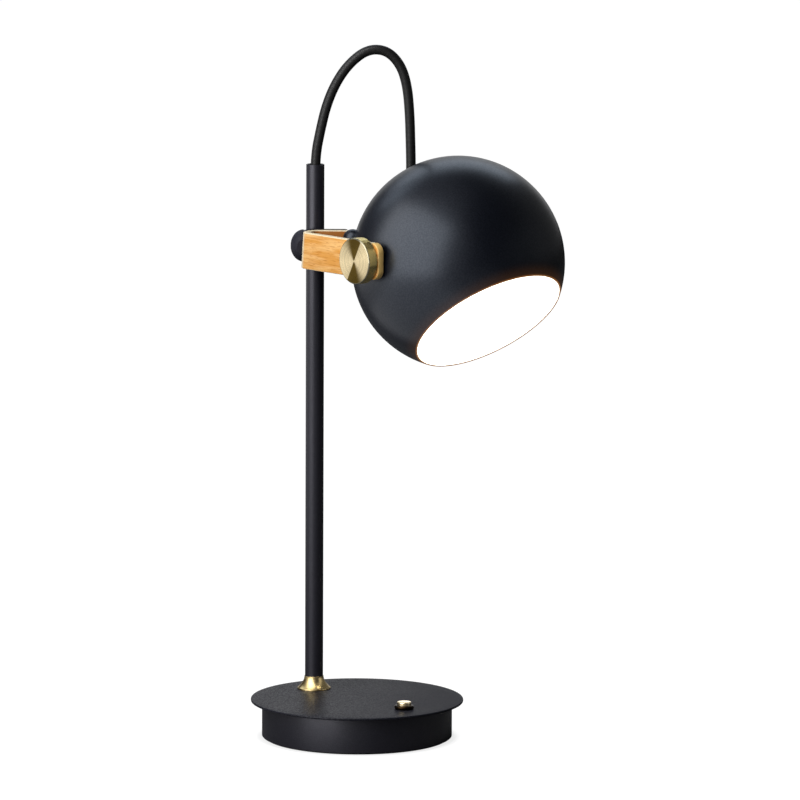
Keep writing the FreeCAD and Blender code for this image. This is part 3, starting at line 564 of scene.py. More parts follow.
class Bench:
    """The modelling bench: the moves that every piece is made with."""

    @staticmethod
    def clear() -> None:
        """Leave edit mode and deselect every object."""
        if bpy.context.object and bpy.context.object.mode != "OBJECT":
            bpy.ops.object.mode_set(mode="OBJECT")
        bpy.ops.object.select_all(action="DESELECT")

    @staticmethod
    def pick(obj: Piece) -> None:
        """Make one object the only selected and the active one."""
        Bench.clear()
        obj.select_set(True)
        bpy.context.view_layer.objects.active = obj

    @staticmethod
    def added(name: str) -> Piece:
        """Name the object that was just added."""
        obj = bpy.context.object
        obj.name = obj.data.name = name
        return obj

    @staticmethod
    def edit(obj: Piece, kind: str = "EDGE", action: str = "DESELECT") -> None:
        """Enter edit mode on one object.

        Args:
            obj: The object.
            kind: VERT, EDGE or FACE.
            action: SELECT or DESELECT, for everything in it.
        """
        Bench.pick(obj)
        bpy.ops.object.mode_set(mode="EDIT")
        bpy.ops.mesh.select_mode(type=kind)
        bpy.ops.mesh.select_all(action=action)

    @staticmethod
    def pick_edges(obj: Piece, test: Callable[[Vector, Vector], bool]) -> None:
        """Select the edges whose two ends pass a test.

        Args:
            obj: The object, in edit mode.
            test: Takes the two ends and says whether the edge is wanted.
        """
        bpy.ops.object.mode_set(mode="OBJECT")
        points = obj.data.vertices
        for edge in obj.data.edges:
            edge.select = test(*(points[i].co for i in edge.vertices))
        bpy.ops.object.mode_set(mode="EDIT")

    @staticmethod
    def round_edges(obj: Piece, test: Callable[[Vector, Vector], bool], radius: float, steps: int) -> None:
        """Round the edges whose two ends pass a test.

        Args:
            obj: The object.
            test: Takes the two ends and says whether the edge is wanted.
            radius: The rounding's radius.
            steps: How many spans it has.
        """
        Bench.edit(obj)
        Bench.pick_edges(obj, test)
        bpy.ops.mesh.bevel(offset=radius, segments=steps, affect="EDGES")
        Bench.clear()

    @staticmethod
    def modify(obj: Piece, kind: str, **values: object) -> None:
        """Add a modifier and apply it.

        Args:
            obj: The object.
            kind: The modifier's type.
            **values: The modifier's properties.
        """
        Bench.pick(obj)
        modifier = obj.modifiers.new(kind.lower(), kind)
        for name, value in values.items():
            setattr(modifier, name, value)
        bpy.ops.object.modifier_apply(modifier=modifier.name)

    @staticmethod
    def carve(obj: Piece, cutter: Piece) -> None:
        """Cut one object out of another and remove it."""
        Bench.settle(cutter, cutter.matrix_world.copy())
        Bench.modify(obj, "BOOLEAN", operation="DIFFERENCE", object=cutter, solver="EXACT")
        bpy.data.objects.remove(cutter)

    @staticmethod
    def outwards(obj: Piece) -> None:
        """Merge doubles and point every face outwards."""
        Bench.edit(obj, "VERT", "SELECT")
        bpy.ops.mesh.remove_doubles(threshold=1e-6)
        bpy.ops.mesh.normals_make_consistent(inside=False)
        Bench.clear()

    @staticmethod
    def settle(obj: Piece, matrix: Matrix) -> None:
        """Move the object by a matrix and apply it, so that its place is in its mesh."""
        obj.matrix_world = matrix
        Bench.pick(obj)
        bpy.ops.object.transform_apply(location=True, rotation=True, scale=True)

    @staticmethod
    def lathe(name: str, rings: list[Ring], matrix: Matrix, end: End = End.LOOP, segments: int = 96) -> Piece:
        """Turn a piece: a circle is extruded and scaled from ring to ring, then stood in its place.

        Args:
            name: The object's name.
            rings: Radius and height of each ring; a loop comes back to the first by itself.
            matrix: The piece's place in the frame.
            end: How the piece is closed.
            segments: Points on each ring.

        Returns:
            The object, with its faces outwards.
        """
        Bench.clear()
        radius, height = rings[0]
        bpy.ops.mesh.primitive_circle_add(vertices=segments, radius=radius, location=ORIGIN)
        obj = Bench.added(name)
        Bench.edit(obj, "EDGE", "SELECT")
        bpy.ops.transform.translate(value=(0.0, 0.0, height))
        if end is End.POINT:
            Bench.close_point()
            Bench.pick_edges(obj, lambda a, b: all(abs(p.xy.length - radius) < 1e-7 for p in (a, b)))
        else:
            rings = [*rings, rings[0]]
        for (last_radius, last_height), (radius, height) in zip(rings, rings[1:]):
            move = {"value": (0.0, 0.0, height - last_height)}
            bpy.ops.mesh.extrude_edges_move(TRANSFORM_OT_translate=move)
            scale = radius / last_radius
            bpy.ops.transform.resize(value=(scale, scale, 1.0), center_override=(0.0, 0.0, height))
        if end is End.POINT:
            Bench.close_point()
        Bench.outwards(obj)
        Bench.settle(obj, matrix)
        return obj

    @staticmethod
    def close_point() -> None:
        """Close the selected ring: extrude it and merge it at its middle."""
        bpy.ops.mesh.extrude_edges_move(TRANSFORM_OT_translate={"value": ORIGIN})
        bpy.ops.mesh.merge(type="CENTER")


def arc(centre: Ring, radius: float, start: float, end: float, steps: int) -> list[Ring]:
    """Points of an arc in a profile.

    Args:
        centre: The arc's centre, as radius and height.
        radius: The arc's radius.
        start: Start angle in degrees.
        end: End angle in degrees.
        steps: How many spans.

    Returns:
        The points from start to end.
    """
    angles = [math.radians(start + (end - start) * i / steps) for i in range(steps + 1)]
    return [(centre[0] + radius * math.cos(a), centre[1] + radius * math.sin(a)) for a in angles]


def standing(place: Sequence[float], direction: Vector = UP) -> Matrix:
    """Matrix that stands a turned piece's +Z along a direction at a place."""
    return Matrix.Translation(place) @ UP.rotation_difference(direction).to_matrix().to_4x4()


@dataclass
class Workshop:
    frame: dict
    materials: dict[str, bpy.types.Material]

    def finish(
        self, obj: Piece, material: str, slot: str, body: Body | None, replaced: str, smooth: float = 35.0
    ) -> None:
        """Shade a piece, dress it, ride it on its body and hide the node that it stands for.

        Args:
            obj: The piece.
            material: The finish's name.
            slot: The record's material slot; not used.
            body: The body it rides on, or None where it rides on none.
            replaced: The node it replaces.
            smooth: Edges sharper than this stay sharp, in degrees.
        """
        Bench.pick(obj)
        bpy.ops.object.shade_smooth_by_angle(angle=math.radians(smooth))
        if not obj.data.materials:
            obj.data.materials.append(self.materials[material])
        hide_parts(replaced)
        if body is not None:
            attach(obj, body.value)
        LOG.info("%s: %s on %s", obj.name, material, body.value if body else "two bodies")

    def dress(self, node: str, material: str) -> None:
        """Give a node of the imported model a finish."""
        materials = self.frame["nodes"][node].data.materials
        materials.clear()
        materials.append(self.materials[material])
        LOG.info("%s: %s", node, material)


@dataclass
class Base:
    """Round base: drum, overhanging plate, collar and pole."""

    plate_radius: float = 90.0 * MM
    plate_low: float = 31.0 * MM
    plate_top: float = 33.0 * MM
    button_bore: float = 6.6 * MM
    drum_radius: float = 80.5 * MM
    drum_low: float = 1.2 * MM
    wall: float = 1.9 * MM
    flange_radius: float = 72.6 * MM
    flange: float = 1.8 * MM
    slot_place: Place = (0.0, 80.0 * MM, 15.2 * MM)
    slot_size: Place = (9.5 * MM, 10.0 * MM, 3.8 * MM)
    slot_corner: float = 1.85 * MM
    pole_radius: float = 7.7 * MM
    pole_bore: float = 6.5 * MM
    pole_top: float = 483.0 * MM
    collar_foot: float = 14.2 * MM
    collar_height: float = 11.0 * MM

    def plate(self) -> Piece:
        """Turn the plate with softly rounded edges and bore the button's hole in it."""
        soft = 0.7 * MM
        edge = self.plate_radius - soft
        rings = [(2 * MM, self.plate_low), (self.drum_radius, self.plate_low), (edge, self.plate_low)]
        rings += arc((edge, self.plate_low + soft), soft, -90, 0, 5)[1:]
        rings += arc((edge, self.plate_top - soft), soft, 0, 90, 5)
        rings += [(self.drum_radius, self.plate_top), (50 * MM, self.plate_top), (2 * MM, self.plate_top)]
        plate = Bench.lathe("base_plate", rings, standing(ORIGIN), End.POINT, 192)
        place = (*BUTTON_PLACE.xy, self.plate_low)
        depth = 10.0 * MM
        bpy.ops.mesh.primitive_cylinder_add(vertices=64, radius=self.button_bore, depth=depth, location=place)
        Bench.carve(plate, Bench.added("button_cutter"))
        return plate

    def drum(self) -> Piece:
        """Turn the drum's wall with its inner flange and cut the socket's slot in it."""
        soft = 0.8 * MM
        ease = 0.4 * MM
        radius = self.drum_radius
        flange_low = self.plate_low - self.flange
        rings = [(radius - ease, self.drum_low), (radius, self.drum_low + ease)]
        rings += arc((radius - soft, self.plate_low - soft), soft, 0, 90, 4)
        rings += [(self.flange_radius, self.plate_low), (self.flange_radius, flange_low)]
        rings += [(radius - self.wall, flange_low), (radius - self.wall, self.drum_low)]
        drum = Bench.lathe("base_drum_wall", rings, standing(ORIGIN), End.LOOP, 192)
        bpy.ops.mesh.primitive_cube_add(size=1.0, location=self.slot_place, scale=self.slot_size)
        cutter = Bench.added("slot_cutter")
        bpy.ops.object.transform_apply(location=True, rotation=True, scale=True)
        Bench.round_edges(cutter, lambda a, b: abs(a.y - b.y) > 5 * MM, self.slot_corner, 6)
        Bench.carve(drum, cutter)
        return drum

    def pole(self) -> Piece:
        """Turn the pole as an open tube with an eased top rim."""
        outer, bore, top = self.pole_radius, self.pole_bore, self.pole_top
        ease = 0.3 * MM
        rings = [(outer, self.plate_top), (outer, 0.2), (outer, 0.35), (outer, top - ease)]
        rings += arc((outer - ease, top - ease), ease, 30, 90, 2)
        rings += [(bore + ease, top), (bore, top - ease), (bore, 0.35), (bore, self.plate_top)]
        return Bench.lathe("pole", rings, standing(POLE_PLACE), End.LOOP, 64)

    def collar(self) -> Piece:
        """Turn the trumpet collar at the pole's foot."""
        bore = self.pole_radius + 0.08 * MM
        neck = self.pole_radius + 0.5 * MM
        foot, low = self.collar_foot, self.plate_top
        rim, soft, ease = 1.3 * MM, 0.5 * MM, 0.15 * MM
        top = low + self.collar_height
        rings = [(bore, low), (foot - 0.2 * MM, low), (foot, low + 0.2 * MM), (foot, low + rim - soft)]
        rings += arc((foot - soft, low + rim - soft), soft, 15, 50, 3)
        for i in range(1, 21):
            share = i / 20
            flare = (foot - soft - neck) * (1 - share) ** 2
            rings.append((neck + flare, low + rim + (self.collar_height - rim) * share))
        rings += [(neck - ease, top + ease), (bore, top + ease)]
        return Bench.lathe("foot_trumpet", rings, standing(POLE_PLACE))

    def build(self, shop: Workshop) -> None:
        """Build and dress the base and the pole.

        Args:
            shop: The workshop.
        """
        for obj, material, slot, node in (
            (self.plate(), "plate_coat", "black_coat", "base_top_plate"),
            (self.drum(), "base_coat", "black_coat", "base_drum"),
            (self.pole(), "base_coat", "black_coat", "pole_tube"),
            (self.collar(), "collar_brass", "brass", "foot_collar"),
        ):
            shop.finish(obj, material, slot, Body.STAND, node)


@dataclass
class PushButton:
    """Brass push button in its ring."""

    cap_radius: float = 6.0 * MM
    cap_low: float = 31.8 * MM
    cap_top: float = 39.4 * MM
    ring_radius: float = 8.3 * MM
    ring_low: float = 33.0 * MM
    ring_top: float = 36.4 * MM

    def cap(self) -> Piece:
        """Turn the cap with a rounded rim and a very low dome."""
        soft = 1.0 * MM
        edge = self.cap_radius - soft
        rings = [(1 * MM, self.cap_low), (self.cap_radius, self.cap_low)]
        rings += arc((edge, self.cap_top - soft - 0.15 * MM), soft, 0, 90, 6)
        rings += [(edge * 0.6, self.cap_top - 0.05 * MM), (edge * 0.2, self.cap_top)]
        return Bench.lathe("button_crown", rings, standing(BUTTON_PLACE), End.POINT, 64)

    def ring(self) -> Piece:
        """Turn the ring that stands on the plate round the cap."""
        bore = self.cap_radius + 0.15 * MM
        soft = 1.5 * MM
        ease = 0.2 * MM
        rings = [(bore, self.ring_low), (self.ring_radius - 0.5 * MM, self.ring_low)]
        rings += arc((self.ring_radius - soft, self.ring_top - soft), soft, -10, 90, 8)
        rings += [(bore + ease, self.ring_top), (bore, self.ring_top - ease)]
        return Bench.lathe("button_ring", rings, standing(BUTTON_PLACE), End.LOOP, 64)

    def build(self, shop: Workshop) -> None:
        """Build and dress the button."""
        shop.finish(self.cap(), "button_brass", "brass", Body.BUTTON, "button_cap")
        # Painted shade: the brass ring's near-black finish
        shop.finish(self.ring(), "ring_painted_dark_brass", "brass", Body.STAND, "button_bezel")


@dataclass
class Strap:
    """Bent bamboo strap: a front leg to the knob, a bend and a back leg on the clamp bar's plate."""

    thickness: float = 6.1 * MM
    half_height: float = 15.3 * MM
    front_end: float = -61.0 * MM
    back_end: float = 28.0 * MM
    bend_radius: float = 14.0 * MM
    seat: float = 14.4 * MM
    corner: float = 8.0 * MM
    lean: float = 0.4 * MM
    twist: float = 0.8 * MM

    def bend_centre(self) -> Vector:
        """Centre of the bend in plan: it touches the front leg's line and the backing plate."""
        x = PIVOT.x + self.bend_radius
        front = self.seat + self.bend_radius
        return Vector((x, POLE_PLACE.y + (front - BAR_FRONT.x * x) / BAR_FRONT.y, HEAD_HEIGHT))

    @staticmethod
    def turn() -> float:
        """Angle of the bend, from the front leg to the back leg."""
        return math.pi / 2 - BAR_ANGLE

    def mid_arc(self, angle: float) -> float:
        """Length of the bend's middle line over an angle."""
        return (self.bend_radius - self.thickness / 2) * angle

    def path_place(self, point: Vector) -> tuple[float, float]:
        """Where a point of the strap lies: distance along it and depth from its outer face.

        Args:
            point: The point in the frame.

        Returns:
            Distance along the strap from its front end, and depth.
        """
        centre = self.bend_centre()
        reach = point - centre
        straight = centre.y - self.front_end
        if reach.y <= 0.0 and reach.x < 0.0:
            return point.y - self.front_end, point.x - PIVOT.x
        along = reach.dot(BAR_ALONG)
        if along >= 0.0:
            return straight + self.mid_arc(self.turn()) + along, self.bend_radius + reach.dot(BAR_FRONT)
        turned = math.pi - math.atan2(reach.y, reach.x)
        angle = min(max(turned, 0.0), self.turn())
        return straight + self.mid_arc(angle), self.bend_radius - reach.xy.length

    def bent(self) -> Piece:
        """Bend the strap: its end section is extruded, spun round the bend and extruded again."""
        centre = self.bend_centre()
        Bench.clear()
        bpy.ops.mesh.primitive_plane_add(size=1.0, location=ORIGIN, rotation=(math.pi / 2, 0.0, 0.0))
        strap = Bench.added("strap")
        strap.scale = (self.thickness, 2 * self.half_height, 1.0)
        strap.location = (PIVOT.x + self.thickness / 2, self.front_end, HEAD_HEIGHT)
        bpy.ops.object.transform_apply(location=True, rotation=True, scale=True)
        Bench.edit(strap, "FACE", "SELECT")
        run = Vector((0.0, centre.y - self.front_end, 0.0))
        bpy.ops.mesh.extrude_region_move(TRANSFORM_OT_translate={"value": tuple(run)})
        bpy.ops.mesh.spin(steps=28, angle=self.turn(), center=tuple(centre), axis=tuple(UP))
        reach = BAR_ALONG * (self.back_end - (centre - POLE_PLACE).dot(BAR_ALONG))
        bpy.ops.mesh.extrude_region_move(TRANSFORM_OT_translate={"value": tuple(reach)})
        Bench.outwards(strap)
        return strap

    def lean_bend(self, strap: Piece) -> None:
        """Lean the bend a little along the bar, as a strap bent by hand does."""
        run = self.bend_centre().y - self.front_end
        for vertex in strap.data.vertices:
            share = min(max((vertex.co.y - self.front_end) / run, 0.0), 1.0)
            rise = (vertex.co.z - HEAD_HEIGHT) / self.half_height
            vertex.co += BAR_ALONG * ((self.lean + self.twist * rise) * share**4)

    def round_corners(self, strap: Piece) -> None:
        """Round the two corners of the strap's front end and ease all its edges."""

        def at_front(a: Vector, b: Vector) -> bool:
            return abs(a.z - b.z) < 1e-6 and all(abs(p.y - self.front_end) < 1e-5 for p in (a, b))

        Bench.round_edges(strap, at_front, self.corner, 10)
        sharp = math.radians(40)
        Bench.modify(strap, "BEVEL", width=0.9 * MM, segments=3, limit_method="ANGLE", angle_limit=sharp)

    def lay_grain(self, strap: Piece) -> None:
        """Write the strap's UV map, in metres along and up, and its depth attribute."""
        mesh = strap.data
        layer = mesh.uv_layers.new(name="strap")
        depth = mesh.attributes.new("depth", "FLOAT", "POINT")
        places = [self.path_place(v.co) for v in mesh.vertices]
        for loop in mesh.loops:
            along, deep = places[loop.vertex_index]
            rise = mesh.vertices[loop.vertex_index].co.z - HEAD_HEIGHT
            layer.data[loop.index].uv = (along, rise + 2.0 * deep)
        for i, (_, deep) in enumerate(places):
            depth.data[i].value = deep

    def build(self, shop: Workshop) -> None:
        """Build and dress the strap.

        Args:
            shop: The workshop.
        """
        strap = self.bent()
        self.lean_bend(strap)
        self.round_corners(strap)
        self.lay_grain(strap)
        shop.finish(strap, "bamboo", "bamboo", Body.BRACKET, "bamboo_strap", 30)


@dataclass
class ThumbKnob:
    """Brass thumb knob on the strap's outer face."""

    radius: float = 19.3 * MM
    low: float = 0.65 * MM
    thickness: float = 9.8 * MM
    edge: float = 0.75 * MM

    def build(self, shop: Workshop) -> None:
        """Turn and dress the knob.

        Args:
            shop: The workshop.
        """
        radius, low, edge = self.radius, self.low, self.edge
        high = low + self.thickness
        rings = [(3 * MM, low), (radius - edge, low), (radius, low + edge), (radius, (low + high) / 2)]
        rings += [(radius, high - edge), (radius - 0.25 * MM, high - 0.3 * MM), (radius - edge, high)]
        rings += [(radius * share, high) for share in (0.8, 0.5, 0.2, 0.04)]
        knob = Bench.lathe("knob", rings, standing(PIVOT, Vector((-1.0, 0.0, 0.0))), End.POINT, 128)
        shop.finish(knob, "knob_brass", "brass", Body.KNOB, "thumb_knob", 20)


@dataclass
class BallShade:
    """Ball shade with a slanted mouth, white inside, with its diffuser and the cord's gland."""

    radius: float = 89.8 * MM
    wall: float = 1.0 * MM
    mouth_radius: float = 66.3 * MM

    @staticmethod
    def globe(name: str, radius: float, place: Sequence[float]) -> Piece:
        """Add a whole ball."""
        Bench.clear()
        bpy.ops.mesh.primitive_uv_sphere_add(segments=160, ring_count=96, radius=radius, location=place)
        return Bench.added(name)

    def shell(self, shop: Workshop) -> Piece:
        """Cut the mouth off a ball and give it a wall, black outside and white inside."""
        shell = self.globe("ball", self.radius, ORIGIN)
        mouth = -math.sqrt(self.radius**2 - self.mouth_radius**2)
        Bench.edit(shell, "VERT", "SELECT")
        bpy.ops.mesh.bisect(plane_co=(0.0, 0.0, mouth), plane_no=(0.0, 0.0, -1.0), clear_outer=True)
        Bench.outwards(shell)
        for name in ("shade_coat", "shade_inside"):
            shell.data.materials.append(shop.materials[name])
        Bench.modify(
            shell, "SOLIDIFY", thickness=self.wall, offset=-1.0, use_even_offset=True,
            material_offset=1, material_offset_rim=0, use_quality_normals=True,
        )
        Bench.settle(shell, standing(BALL_CENTRE, BALL_REAR))
        return shell

    def diffuser(self) -> Piece:
        """Turn the opal cap over the lamps: a short tube under a domed front."""
        inner, outer = 24.1 * MM, 25.6 * MM
        skin = 1.5 * MM
        top, waist, rim, crown = 61.5 * MM, 57.0 * MM, 53.0 * MM, 42.5 * MM
        bulge = 10.5 * MM
        curve = (outer**2 + bulge**2) / (2 * bulge)
        dome = [(outer, rim)]
        for i in range(1, 12):
            radius = outer * (1 - i / 12)
            dome.append((radius, crown + curve - math.sqrt(curve**2 - radius**2)))
        dome.append((0.5 * MM, crown))
        inside = [(r * inner / outer, h + skin) for r, h in reversed(dome)]
        rings = [(inner, top), (outer, top), (outer, waist), *dome, *inside]
        return Bench.lathe("opal_cap", rings, standing(BALL_CENTRE, BALL_REAR))

    def gland(self) -> Piece:
        """Turn the low gland that the cord drops through, with its foot cut to the ball."""
        across = GLAND_PLACE - BALL_CENTRE
        foot = BALL_CENTRE.z + math.sqrt(self.radius**2 - across.x**2 - across.y**2)
        bore, sleeve, flange = 4.3 * MM, 5.1 * MM, 7.2 * MM
        low, high, top = -8.0 * MM, 2.2 * MM, 4.6 * MM
        soft, ease = 1.0 * MM, 0.4 * MM
        rings = [(bore, low), (flange, low), (flange, high - soft)]
        rings += arc((flange - soft, high - soft), soft, 20, 90, 5)
        rings += [(sleeve, high + 0.3 * MM), (sleeve, top - ease), (sleeve - ease, top), (bore, top)]
        place = Vector((GLAND_PLACE.x, GLAND_PLACE.y, foot))
        gland = Bench.lathe("gland", rings, standing(place), End.LOOP, 64)
        Bench.carve(gland, self.globe("ball_cutter", self.radius + 0.03 * MM, tuple(BALL_CENTRE)))
        return gland

    def build(self, shop: Workshop) -> None:
        """Build and dress the shade.

        Args:
            shop: The workshop.
        """
        for obj, material, slot, node, smooth in (
            (self.shell(shop), "shade_coat", "black_shade", "shade_shell", 40),
            (self.diffuser(), "opal", "opal", "opal_diffuser", 40),
            (self.gland(), "black_plastic", "black_plastic", "cord_gland", 35),
        ):
            shop.finish(obj, material, slot, Body.SHADE, node, smooth)


@dataclass
class Cord:
    """Braided cord from the pole's top into the ball, in three lengths."""

    diameter: float = 8.3 * MM
    sides: int = 40
    splits: tuple[int, int] = (3, 6)

    def route(self) -> list[Vector]:
        """The cord's route, as distance from the pole and height."""
        way = GLAND_PLACE - POLE_PLACE
        reach = way.length / MM
        way.normalize()
        places = [
            (0.0, 472.0), (0.0, 490.0), (4.3, 512.0), (9.0, 532.1), (16.5, 550.7), (27.7, 567.5),
            (43.4, 580.0), (59.7, 579.5), (71.6, 567.6), (77.5, 549.8), (79.8, 525.1), (80.6, 499.0),
            (reach, 484.0), (reach, 472.0),
        ]
        return [POLE_PLACE + way * (d * MM) + UP * (h * MM) for d, h in places]

    def lengths(self) -> list[list[Vector]]:
        """The route cut at the middle of two runs."""
        points = self.route()
        first, second = self.splits
        cuts = [(points[i] + points[i + 1]) / 2 for i in self.splits]
        return [
            [*points[: first + 1], cuts[0]],
            [cuts[0], *points[first + 1 : second + 1], cuts[1]],
            [cuts[1], *points[second + 1 :]],
        ]

    @staticmethod
    def centreline(points: Sequence[Vector]) -> list[Vector]:
        """Read the smooth line of a route from its spline.

        Args:
            points: The route's control points.

        Returns:
            Points along the curve.
        """
        curve = bpy.data.curves.new("cord_line", "CURVE")
        curve.dimensions = "3D"
        spline = curve.splines.new("NURBS")
        spline.points.add(len(points) - 1)
        for target, point in zip(spline.points, points):
            target.co = (*point, 1.0)
        spline.order_u = 3
        spline.use_endpoint_u = True
        spline.resolution_u = 24
        holder = bpy.data.objects.new("cord_line", curve)
        bpy.context.scene.collection.objects.link(holder)
        bpy.context.view_layer.update()
        mesh = bpy.data.meshes.new_from_object(holder.evaluated_get(bpy.context.evaluated_depsgraph_get()))
        line = [v.co.copy() for v in mesh.vertices]
        bpy.data.objects.remove(holder)
        bpy.data.meshes.remove(mesh)
        return line

    def tube(self, name: str, line: Sequence[Vector], start: float) -> Piece:
        """Sweep the braided sleeve along a line, with a UV map in metres along it.

        Args:
            name: The piece's name.
            line: Points along the cord.
            start: Distance along the whole cord where this length starts.

        Returns:
            The tube.
        """
        side = (GLAND_PLACE - POLE_PLACE).cross(UP).normalized()
        points, faces, uvs = [], [], []
        runs = [start]
        for a, b in zip(line, line[1:]):
            runs.append(runs[-1] + (b - a).length)
        for i, point in enumerate(line):
            ahead = line[min(i + 1, len(line) - 1)] - line[max(i - 1, 0)]
            out = side.cross(ahead.normalized())
            for k in range(self.sides):
                angle = 2 * math.pi * k / self.sides
                points.append(point + (side * math.cos(angle) + out * math.sin(angle)) * (self.diameter / 2))
        for i, (u0, u1) in enumerate(zip(runs, runs[1:])):
            for k in range(self.sides):
                near = i * self.sides + k
                after = i * self.sides + (k + 1) % self.sides
                faces.append((near, after, after + self.sides, near + self.sides))
                v0, v1 = k / self.sides, (k + 1) / self.sides
                uvs += [(u0, v0), (u0, v1), (u1, v1), (u1, v0)]
        last = len(points) - self.sides
        faces += [tuple(reversed(range(self.sides))), tuple(range(last, len(points)))]
        uvs += [(runs[0], 0.0)] * self.sides + [(runs[-1], 0.0)] * self.sides
        mesh = bpy.data.meshes.new(name)
        mesh.from_pydata(points, [], faces)
        layer = mesh.uv_layers.new(name="sleeve")
        for loop, uv in zip(layer.data, uvs):
            loop.uv = uv
        obj = bpy.data.objects.new(name, mesh)
        bpy.context.scene.collection.objects.link(obj)
        return obj

    def build(self, shop: Workshop) -> None:
        """Args:
            shop: The workshop.
        """
        start = 0.0
        joins = (
            ("sleeve_rise", "cord_rise", Body.STAND, Body.SLIDER),
            ("sleeve_crown", "cord_crown", Body.SLIDER, Body.BRACKET),
            ("sleeve_drop", "cord_drop", Body.BRACKET, Body.SHADE),
        )
        for (name, node, low, high), points in zip(joins, self.lengths()):
            line = self.centreline(points)
            length = sum((b - a).length for a, b in zip(line, line[1:]))
            obj = self.tube(name, line, start)
            shop.finish(obj, "braid", "braid", None, node, 60)
            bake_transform(obj)
            start += length


@dataclass
class Lamp:
    """Soft area light; where it names pieces it lights only them, or all but them."""

    name: str
    place: Place
    aim: Place
    size: tuple[float, float]
    power: float
    pieces: tuple[str, ...] = ()
    state: str = "INCLUDE"
    colour: Colour = WHITE

    def build(self) -> None:
        """Add the light and link it to its pieces."""
        data = bpy.data.lights.new(self.name, "AREA")
        data.shape = "RECTANGLE"
        data.size, data.size_y = self.size
        data.energy = self.power
        data.color = self.colour
        obj = bpy.data.objects.new(self.name, data)
        way = Vector(self.aim) - Vector(self.place)
        turn = way.to_track_quat("-Z", "Y").to_matrix().to_4x4()
        obj.matrix_world = Matrix.Translation(self.place) @ turn
        bpy.context.scene.collection.objects.link(obj)
        if self.pieces:
            lit = bpy.data.collections.new(f"{self.name}_lights")
            for piece in self.pieces:
                lit.objects.link(bpy.data.objects[piece])
            for member in lit.collection_objects:
                member.light_linking.link_state = self.state
            obj.light_linking.receiver_collection = lit
            obj.visible_camera = False


# The studio's bright sides: direction, cosines where each begins and is full, and its brightness
BRIGHT_SIDES = (
    ((-0.96, -0.05, 0.28), 0.4, 1.0, 0.9),
    ((-0.45, 0.1, 0.89), 0.7, 1.0, 0.45),
    ((0.65, 0.76, 0.1), 0.88, 0.985, 0.75),
    ((0.66, -0.75, 0.0), 0.75, 0.97, 0.15),
    ((0.97, 0.0, 0.24), 0.6, 1.0, 0.12),
)

BRASS_PIECES = ("knob", "foot_trumpet", "button_crown")
LAMPS = (
    Lamp("key_left", (-2.1, -0.25, 2.0), (0.0, 0.0, 0.6), (2.6, 5.0), 120.0, ("ball",), "EXCLUDE"),
    Lamp("key_ball", (-2.1, 0.35, 1.3), (0.07, -0.05, 0.4), (4.1, 3.2), 108.0, ("ball",)),
    Lamp("bounce_ball", (-0.75, -0.02, 0.01), (-0.75, -0.02, 1.0), (1.4, 1.4), 3.8, ("ball",)),
    Lamp("top_back", (0.8, 1.5, 1.9), (0.0, 0.0, 0.3), (3.2, 1.0), 15.0, colour=(0.78, 0.88, 1.0)),
    Lamp("side_knob", (0.75, -1.0, 0.4), (0.0, 0.0, 0.4), (0.8, 2.8), 3.4, BRASS_PIECES),
    Lamp("back_button", (1.6, 1.9, 0.45), (0.0, -0.06, 0.05), (2.0, 0.9), 6.0, ("button_crown",)),
    Lamp("side_strap", (1.2, -1.4, 0.35), (0.0, 0.0, 0.4), (0.8, 1.2), 20.0, ("strap",)),
)


